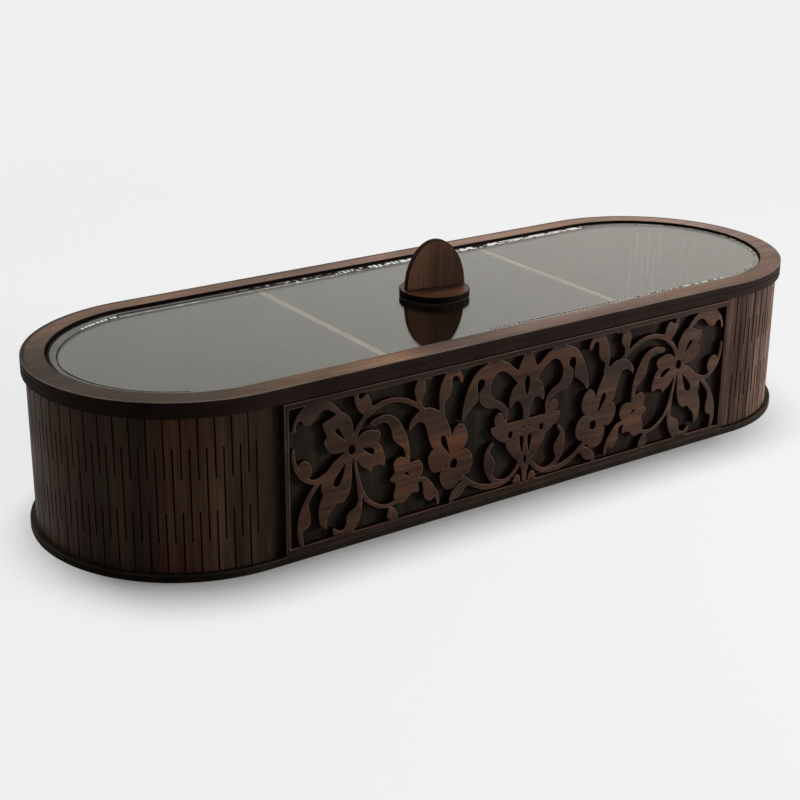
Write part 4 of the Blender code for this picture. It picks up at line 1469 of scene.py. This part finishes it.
@dataclass
class Lid:
    """The clear sheet that lies in the rim.

    Sawing has left fine teeth on its edge. Its top has a border, widest along the back and the front and
    narrow round the ends, of painted glints and painted shade where its edge and the ledge show through.
    The border runs in lanes, and a thin line ends it. Noise values, against the levels named for them,
    pick another finish for a face.

    Attributes:
        slant_limit: Largest slant of a lane's points. Past half a tooth, neighbouring points could cross.
        rough_share: Largest share of a lane that its roughness takes, so that lanes don't cross.
        zones: Kinds of painted glint and shade marks along the back, each with the place where it ends.
        edge_tone: Finishes along the cut edge, painted shade at the left and painted glints toward the right,
        each with the place where it ends.
        front_runs: Ends of the dark, clear, ticked and dotted parts of the front line, and the start of
            its silver part.
        grey_front_end: Place where the grey scuffs end along the front.
        silver_back_start: Place from which the back line is silver.
    """

    softness: float = 0.2 * MM
    end_steps: int = 200
    tooth: float = 0.8 * MM
    chatter: float = 0.06 * MM
    left_border: float = 2.1 * MM
    right_border: float = 0.3 * MM
    back_border: float = 5.1 * MM
    back_taper: float = 0.008
    front_border: float = 2.66 * MM
    front_taper: float = 0.0032
    border_line: float = 0.5 * MM
    front_line: float = 0.75 * MM
    border_wobble: float = 0.2 * MM
    lane_slant: float = 0.7 * MM
    slant_limit: float = 0.25 * MM
    rough_share: float = 0.3
    lanes: int = 4
    zones: tuple[tuple[float, str], ...] = (
        (-0.145, "grey"), (-0.126, "dashes"), (-0.07, "lines"), (-0.02, "mottled"), (0.015, "glints"),
        (0.125, "white"), (0.15, "grey"), (0.16, "dashes"), (0.167, "clear"), (0.17, "dashes"))
    edge_tone: tuple[tuple[float, LidFace], ...] = (
        (-0.05, LidFace.DARK), (-0.015, LidFace.GREY), (0.02, LidFace.SILVER))
    edge_tone_wander: float = 0.03
    seed: float = 4.7
    front_runs: tuple[float, float, float, float, float] = (-0.14, -0.01, 0.06, 0.09, 0.12)
    grey_front_end: float = -0.15
    silver_back_start: float = 0.125
    mark_noise_step: float = 0.37
    lane_step: float = 2.3
    dash_level: float = 0.15
    mottle_dark_level: float = 0.4
    mottle_pale_level: float = 0.95
    glint_level: float = 0.45
    white_chip: float = 0.27
    bold_flicker: float = 0.25
    faint_flicker: float = -0.1
    tooth_swing: float = 0.3
    lane_wobble: float = 0.3
    sides: int = 3

    def run_of_points(self, length: float, width: float) -> list[tuple[Vector, Vector]]:
        """Return points at even steps round the sheet, each with its inward direction."""
        smooth = round_ended(length, width, self.end_steps)
        points: Outline = []
        for index, here in enumerate(smooth):
            beyond = smooth[(index + 1) % len(smooth)]
            steps = max(1, round((beyond - here).length / self.tooth))
            points.extend(here.lerp(beyond, step / steps) for step in range(steps))
        placed = []
        for index, point in enumerate(points):
            along = (points[(index + 1) % len(points)] - points[index - 1]).normalized()
            placed.append((point, Vector((-along.y, along.x))))
        return placed

    def border_width(self, point: Vector, inward: Vector) -> float:
        """Return the width of the scuffed border at a point of the edge."""
        end = self.left_border if inward.x > 0.0 else self.right_border
        if inward.y < 0.0:
            return end + (self.back_border - self.back_taper * point.x - end) * -inward.y
        return end + (self.front_border - self.front_taper * max(point.x, 0.0) - end) * inward.y ** 3

    def zone(self, place: Vector) -> str:
        """Return the kind of scuffs on the back half of the border at a place."""
        return next((kind for reach, kind in self.zones if place.x < reach), "clear")

    def border_face(self, place: Vector, index: int, lane: int) -> LidFace:
        """Return the finish of a border face.

        Args:
            place: Middle of the face.
            index: Number of the face round the sheet.
            lane: Number of the lane, from the edge inward.

        Returns:
            The finish.
        """
        if place.y < 0.0:
            return LidFace.GREY if place.x < self.grey_front_end else LidFace.CLEAR
        if lane == 0:
            return LidFace.DARK
        mark_noise = noise.noise((index * self.mark_noise_step, lane * self.lane_step, self.seed)) + 0.5
        last = lane == self.lanes - 1
        before_last = lane == self.lanes - 2
        kind = self.zone(place)
        if kind == "dashes" and last:
            return LidFace.PALE if index % 3 and mark_noise > self.dash_level else LidFace.DARK
        if kind == "lines" and before_last:
            return LidFace.DARK
        if kind == "mottled":
            if mark_noise > self.mottle_pale_level:
                return LidFace.PALE
            dark = before_last or (mark_noise < self.mottle_dark_level and not last)
            return LidFace.DARK if dark else LidFace.GREY
        if kind == "glints":
            if mark_noise > self.glint_level and index % 3:
                return LidFace.PALE
            return LidFace.GREY if last else LidFace.DARK
        if kind == "white":
            return LidFace.PALE if mark_noise > self.white_chip else LidFace.DARK
        return LidFace.CLEAR if kind == "clear" else LidFace.GREY

    def cut_face(self, place: Vector, index: int) -> LidFace:
        """Return the finish of a face of the cut edge: painted shade on the left, painted glints on the
        right.
        """
        reach = place.x + self.edge_tone_wander * Jitter.EDGE_TONE.at(index, self.seed)
        return next((kind for limit, kind in self.edge_tone if reach < limit), LidFace.PALE)

    def line_face(self, place: Vector, index: int) -> LidFace:
        """Return the finish of the thin line that ends the border, in painted glints and painted shade."""
        flicker = Jitter.FLICKER.at(index, self.seed)
        if place.y < 0.0:
            dark_end, clear_end, ticks_end, dots_end, silver_start = self.front_runs
            if place.x < dark_end:
                return LidFace.DARK
            if place.x < clear_end:
                return LidFace.CLEAR
            if place.x < ticks_end:
                return LidFace.DARK if index % 3 else LidFace.SILVER
            if flicker < -self.bold_flicker or (place.x < dots_end and index % 2):
                return LidFace.DARK
            return LidFace.SILVER if place.x > silver_start else LidFace.PALE
        if self.zone(place) in ("lines", "mottled"):
            return LidFace.PALE if flicker > self.bold_flicker else LidFace.SILVER
        if place.x > self.silver_back_start:
            return LidFace.SILVER if flicker > self.faint_flicker else LidFace.GREY
        return LidFace.DARK

    def build(self) -> Object:
        """Build the lid in the lid node's place."""
        size, low, high = extent("lid_panel")
        points = self.run_of_points(size.x, size.y)
        count = len(points)
        form = bmesh.new()

        def loop_at(inset: float, level: float, rough: float, seed: float, share: float = 0.0,
                    ends: bool = False) -> list[Any]:
            verts = []
            for index, (point, inward) in enumerate(points):
                line = self.front_line if inward.y > 0.0 else self.border_line
                band = widths[index] - self.softness
                depth = inset + share * band + (line if ends else 0.0)
                lane = line if ends else band / self.lanes
                uneven = min(rough, self.rough_share * lane) if share else rough
                depth += uneven * abs(Jitter.DEPTH.at(index, seed) + (index % 2) * self.tooth_swing)
                along = Vector((inward.y, -inward.x))
                slide = share * self.lane_slant * Jitter.SLANT.at(index, seed)
                slide = max(-self.slant_limit, min(self.slant_limit, slide))
                verts.append(form.verts.new((*(point + inward * depth + along * slide), level)))
            return verts

        widths = [self.border_width(point, inward) for point, inward in points]
        loops = [
            loop_at(self.softness, low.z, 0.0, 0.0),
            loop_at(0.0, low.z + self.softness, self.chatter, self.seed),
            loop_at(0.0, high.z - self.softness, self.chatter, self.seed),
            loop_at(self.softness, high.z, 0.0, 0.0),
        ]
        calm_wobble = self.lane_wobble * self.border_wobble
        loops += [loop_at(self.softness, high.z, calm_wobble, self.seed + step, step / self.lanes)
                  for step in range(1, self.lanes + 1)]
        loops.append(loop_at(self.softness, high.z, self.border_wobble, self.seed + self.lanes, 1.0, True))
        for number, (under, over) in enumerate(zip(loops, loops[1:])):
            for index in range(count):
                after = (index + 1) % count
                face = form.faces.new((under[index], under[after], over[after], over[index]))
                place = face.calc_center_median()
                if number < self.sides:
                    kind = self.cut_face(place, index)
                elif number < self.sides + self.lanes:
                    kind = self.border_face(place, index, number - self.sides)
                else:
                    kind = self.line_face(place, index)
                face.material_index = kind.value
        form.faces.new(loops[-1])
        form.faces.new(tuple(reversed(loops[0])))
        bmesh.ops.recalc_face_normals(form, faces=form.faces)
        return object_of(form, "clear_lid")

    def dress(self, piece: Object, effects: EffectLibrary) -> None:
        """Give the lid its clear faces and the painted glints and painted shade of its cut edge and border.
        """
        finishes = (
            ClearSheet("lid_clear_sheet", stain(244, 246, 240)),
            # The pale and silver finishes are painted glints, the dark and grey ones painted shade.
            CutEdge("lid_pale_glint", stains((180, 178, 174), (240, 240, 238)), roughness=0.4, gloss=0.5),
            CutEdge("lid_dark_shade", stains((8, 7, 6), (26, 23, 20)), roughness=0.5, gloss=0.03),
            CutEdge("lid_grey_shade", stains((84, 82, 79), (112, 110, 106)), roughness=0.5, gloss=0.05),
            CutEdge("lid_silver_glint", stains((138, 136, 131), (176, 174, 168)), roughness=0.5, gloss=0.1))
        finish_piece(piece, finishes, effects, "lid_panel", "lid")


@dataclass
class Knob:
    """The wooden knob: a disc with an upright blade in the shape of half an ellipse."""

    disc_steps: int = 64
    blade_steps: int = 40
    softness: float = 0.3 * MM
    turn: float = math.radians(-10.7)
    blade_width: float = 27.0 * MM
    blade_sheet: float = 3.0 * MM
    shadow: StainAndLightPatch = StainAndLightPatch((0.013, 0.0, 0.078), 0.017, (0.2, 0.25, 0.28, 1.0), 0.45)

    def build_disc(self) -> Object:
        """Build the disc in its node's place."""
        size, low, high = extent("knob_disc")
        radius = size.x / 2
        outline = [Vector((radius * math.cos(2 * math.pi * step / self.disc_steps),
                           radius * math.sin(2 * math.pi * step / self.disc_steps)))
                   for step in range(self.disc_steps)]
        placed = Matrix.Translation((low + high) / 2)
        disc = Sheet("knob_foot", [outline], size.z, self.softness, placed).build()
        # Upper roundings take the edge finish, so only the lower ones keep the corner finish, a painted
        # highlight.
        for face in disc.data.polygons:
            if face.material_index == 2 and face.center.z > placed.translation.z:
                face.material_index = 1
        return disc

    def build_blade(self) -> Object:
        """Build the blade in its node's place."""
        size, low, high = extent("knob_blade")
        outline: Outline = []
        for step in range(self.blade_steps + 1):
            angle = math.pi * step / self.blade_steps
            outline.append(Vector((self.blade_width / 2 * math.cos(angle), size.z * math.sin(angle))))
        foot = Matrix.Translation(((low.x + high.x) / 2, (low.y + high.y) / 2, low.z))
        turned = foot @ Matrix.Rotation(self.turn, 4, "Z") @ facing_front(0.0)
        return Sheet("knob_grip", [outline], self.blade_sheet, self.softness, turned).build()

    def dress(self, disc: Object, blade: Object, effects: EffectLibrary) -> None:
        """Give both pieces their finish."""
        foot_finishes = (
            StainedVeneer("knob_foot_veneer", stains((36, 22, 15), (58, 37, 26), (88, 58, 41)),
                          GrainWay.ALONG, (0.3, 0.2, 0.1)),
            CutEdge("knob_foot_edge", stains((12, 9, 8), (26, 19, 17))),
            # A painted highlight on the disc's lower roundings.
            CutEdge("knob_foot_corner", stains((84, 80, 76), (120, 116, 112))))
        grip_finishes = (
            StainedVeneer("knob_grip_veneer", stains((64, 43, 32), (101, 70, 52), (122, 87, 65)),
                          GrainWay.UPRIGHT, (0.1, 0.1, 0.1), figure=0.6, gloss=0.1, patches=(self.shadow,)),
            CutEdge("knob_grip_edge", stains((30, 20, 16), (52, 35, 28)), FaceWay.FRONT),
            CutEdge("knob_grip_corner", stains((18, 11, 9), (34, 22, 18)), FaceWay.FRONT))
        finish_piece(disc, foot_finishes, effects, "knob_disc", "lid")
        finish_piece(blade, grip_finishes, effects, "knob_blade", "lid")


def outward(azimuth: float, elevation: float) -> Vector:
    """Return the direction from the box toward an azimuth, counted from -Y, and an elevation."""
    level = math.cos(elevation)
    return Vector((math.sin(azimuth) * level, -math.cos(azimuth) * level, math.sin(elevation)))


def facing(heading: Vector) -> Any:
    """Return the rotation that makes a lamp look along a heading."""
    return heading.to_track_quat("-Z", "Y").to_euler()


@dataclass
class Studio:
    """The floor, the lamps, the surroundings and the camera."""

    picture_width: float = 800.0
    eye: Place = (-0.3672, -0.5038, 0.2665)
    azimuth: float = math.radians(-33.895)
    elevation: float = math.radians(19.495)
    roll: float = math.radians(0.205)
    focal_pixels: float = 1533.8
    middle_pixels: tuple[float, float] = (380.0, 345.0)
    sensor: float = 36.0
    clip: tuple[float, float] = (10.0 * MM, 100.0)
    floor_reach: float = 12.0
    pale: Colour = stain(239, 239, 239)
    floor_lit_share: float = 0.88
    floor_lit: Colour = (0.79, 0.79, 0.79, 1.0)
    shadow_reach: tuple[float, float] = (0.32, 0.85)
    left_reach: tuple[float, float] = (-0.17, -0.2)
    left_share: float = 0.4
    right_reach: tuple[float, float] = (0.1, 0.17)
    right_share: float = 0.3
    mirrored_left: Colour = (0.52, 0.508, 0.46, 1.0)
    mirrored_right: Colour = (0.84, 0.79, 0.70, 1.0)
    room_reach: tuple[float, float] = (0.32, 0.64)
    ambient: float = 0.1
    paper: Colour = stain(110, 108, 104)
    paper_roughness: float = 0.9
    key_azimuth: float = math.radians(58.0)
    key_elevation: float = math.radians(6.0)
    key_distance: float = 1.15
    key_size: float = 0.3
    key_power: float = 11.8
    key_target: Place = (0.0, 0.0, 0.04)
    overhead_power: float = 3.0
    overhead_spread: float = math.radians(27.0)
    overhead_heading: Place = (-0.09, -0.2, -1.0)

    def build_camera(self) -> None:
        """Set the camera at the photograph's viewing angle."""
        data = bpy.data.cameras.new("camera")
        data.sensor_width = self.sensor
        data.lens = self.focal_pixels / self.picture_width * data.sensor_width
        data.shift_x = (self.picture_width / 2 - self.middle_pixels[0]) / self.picture_width
        data.shift_y = (self.middle_pixels[1] - self.picture_width / 2) / self.picture_width
        data.clip_start, data.clip_end = self.clip
        camera = add_object("camera", data)
        camera.location = self.eye
        back = outward(self.azimuth, self.elevation)
        turn = (-back).to_track_quat("-Z", "Y") @ Quaternion((0.0, 0.0, 1.0), self.roll)
        camera.rotation_euler = turn.to_euler()
        bpy.context.scene.camera = camera

    def seen_directly(self, wiring: Wiring) -> Any:
        """Return a mask of the rays that look at the pale background: camera, mirror and glass rays."""
        path = wiring.add("ShaderNodeLightPath").outputs
        mirrored = wiring.maths("MAXIMUM", path["Is Glossy Ray"], path["Is Transmission Ray"])
        return wiring.maths("MAXIMUM", path["Is Camera Ray"], mirrored)

    def build_floor(self) -> None:
        """Lay a wide pale floor that keeps the box's soft shadow."""
        form = bmesh.new()
        bmesh.ops.create_grid(form, x_segments=8, y_segments=8, size=self.floor_reach)
        floor = object_of(form, "floor")
        material, wiring, shader = new_material("floor_paper")
        shader.inputs["Base Color"].default_value = self.paper
        shader.inputs["Roughness"].default_value = self.paper_roughness
        shader.inputs["Specular IOR Level"].default_value = 0.0
        glow = wiring.add("ShaderNodeEmission", {"Color": self.pale, "Strength": 1.0})
        lit = wiring.add("ShaderNodeBsdfDiffuse", {"Color": self.floor_lit})
        here = wiring.here()
        along = wiring.parts(here)[0]
        # Beside the box's ends less of the lit floor shows, which paints the shadow there lighter.
        beside_ends = wiring.product(wiring.ramp(along, *self.left_reach, 1.0, self.left_share),
                                     wiring.ramp(along, *self.right_reach, 1.0, self.right_share))
        share = wiring.ramp(wiring.measure("LENGTH", here), *self.shadow_reach, self.floor_lit_share, 0.0,
                            smooth=True)
        shadowed = wiring.blend(wiring.product(share, beside_ends), glow, lit)
        shown = wiring.blend(self.seen_directly(wiring), shader, shadowed)
        leave = material.node_tree.nodes["Material Output"]
        wiring.feed(leave.inputs["Surface"], shown.outputs[0])
        floor.data.materials.append(material)

    def build_world(self) -> None:
        """Surround the scene with a pale room that is a little darker on its left side."""
        world = bpy.data.worlds.new("room")
        world.use_nodes = True
        wiring = Wiring(world.node_tree)
        background = world.node_tree.nodes["Background"]
        background.inputs["Color"].default_value = (1.0, 1.0, 1.0, 1.0)
        background.inputs["Strength"].default_value = self.ambient
        path = wiring.add("ShaderNodeLightPath").outputs
        pale = wiring.add("ShaderNodeBackground", {"Color": self.pale, "Strength": 1.0})
        across = wiring.parts(wiring.add("ShaderNodeTexCoord").outputs["Generated"])[0]
        tone = wiring.mix(wiring.ramp(across, *self.room_reach), self.mirrored_left, self.mirrored_right)
        mirrored = wiring.add("ShaderNodeBackground", {"Color": tone, "Strength": 1.0})
        clear = wiring.maths("MAXIMUM", path["Is Camera Ray"], path["Is Transmission Ray"])
        seen = wiring.blend(clear, wiring.blend(path["Is Glossy Ray"], background, mirrored), pale)
        leave = world.node_tree.nodes["World Output"]
        wiring.feed(leave.inputs["Surface"], seen.outputs[0])
        bpy.context.scene.world = world

    def build_lamps(self) -> None:
        """Hang the soft lamp at the right and the wide one overhead."""
        key = bpy.data.lights.new("key", "AREA")
        key.shape = "SQUARE"
        key.size = self.key_size
        key.energy = self.key_power
        lamp = add_object("key", key)
        lamp.location = self.key_distance * outward(self.key_azimuth, self.key_elevation)
        lamp.rotation_euler = facing(Vector(self.key_target) - lamp.location)
        overhead = bpy.data.lights.new("overhead", "SUN")
        overhead.energy = self.overhead_power
        overhead.angle = self.overhead_spread
        lamp = add_object("overhead", overhead)
        lamp.visible_glossy = False
        lamp.visible_transmission = False
        lamp.rotation_euler = facing(Vector(self.overhead_heading))

    def build(self) -> None:
        """Build the whole studio."""
        self.build_camera()
        self.build_floor()
        self.build_world()
        self.build_lamps()
        bpy.context.scene.view_settings.view_transform = "Standard"


def main() -> None:
    """Build the box, dress it and set the studio."""
    logging.basicConfig(level=logging.INFO, format="%(name)s: %(message)s")
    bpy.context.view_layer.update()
    effects = EffectLibrary()
    base = Base()
    base.dress(base.build(), effects)
    walls = Walls()
    for name, node, side in (("slit_wall_left", "wall_left", -1), ("slit_wall_right", "wall_right", 1)):
        walls.dress(walls.build(name, node, side), node, side, effects)
    panel = ScrollPanel()
    panel.dress(panel.build(), effects)
    rim = Rim()
    rim.dress(rim.build_ledge(), "rim_ledge", (0.0, 0.0, 0.3), effects)
    rim.dress(rim.build_top(), "rim_frame", (0.1, 0.05, 0.5), effects)
    dividers = Dividers()
    for name, node in (("divider_board_left", "divider_left"), ("divider_board_right", "divider_right")):
        dividers.dress(dividers.build(name, node), node, effects)
    lid = Lid()
    lid.dress(lid.build(), effects)
    knob = Knob()
    knob.dress(knob.build_disc(), knob.build_blade(), effects)
    Studio().build()


if __name__ == "__main__":
    main()
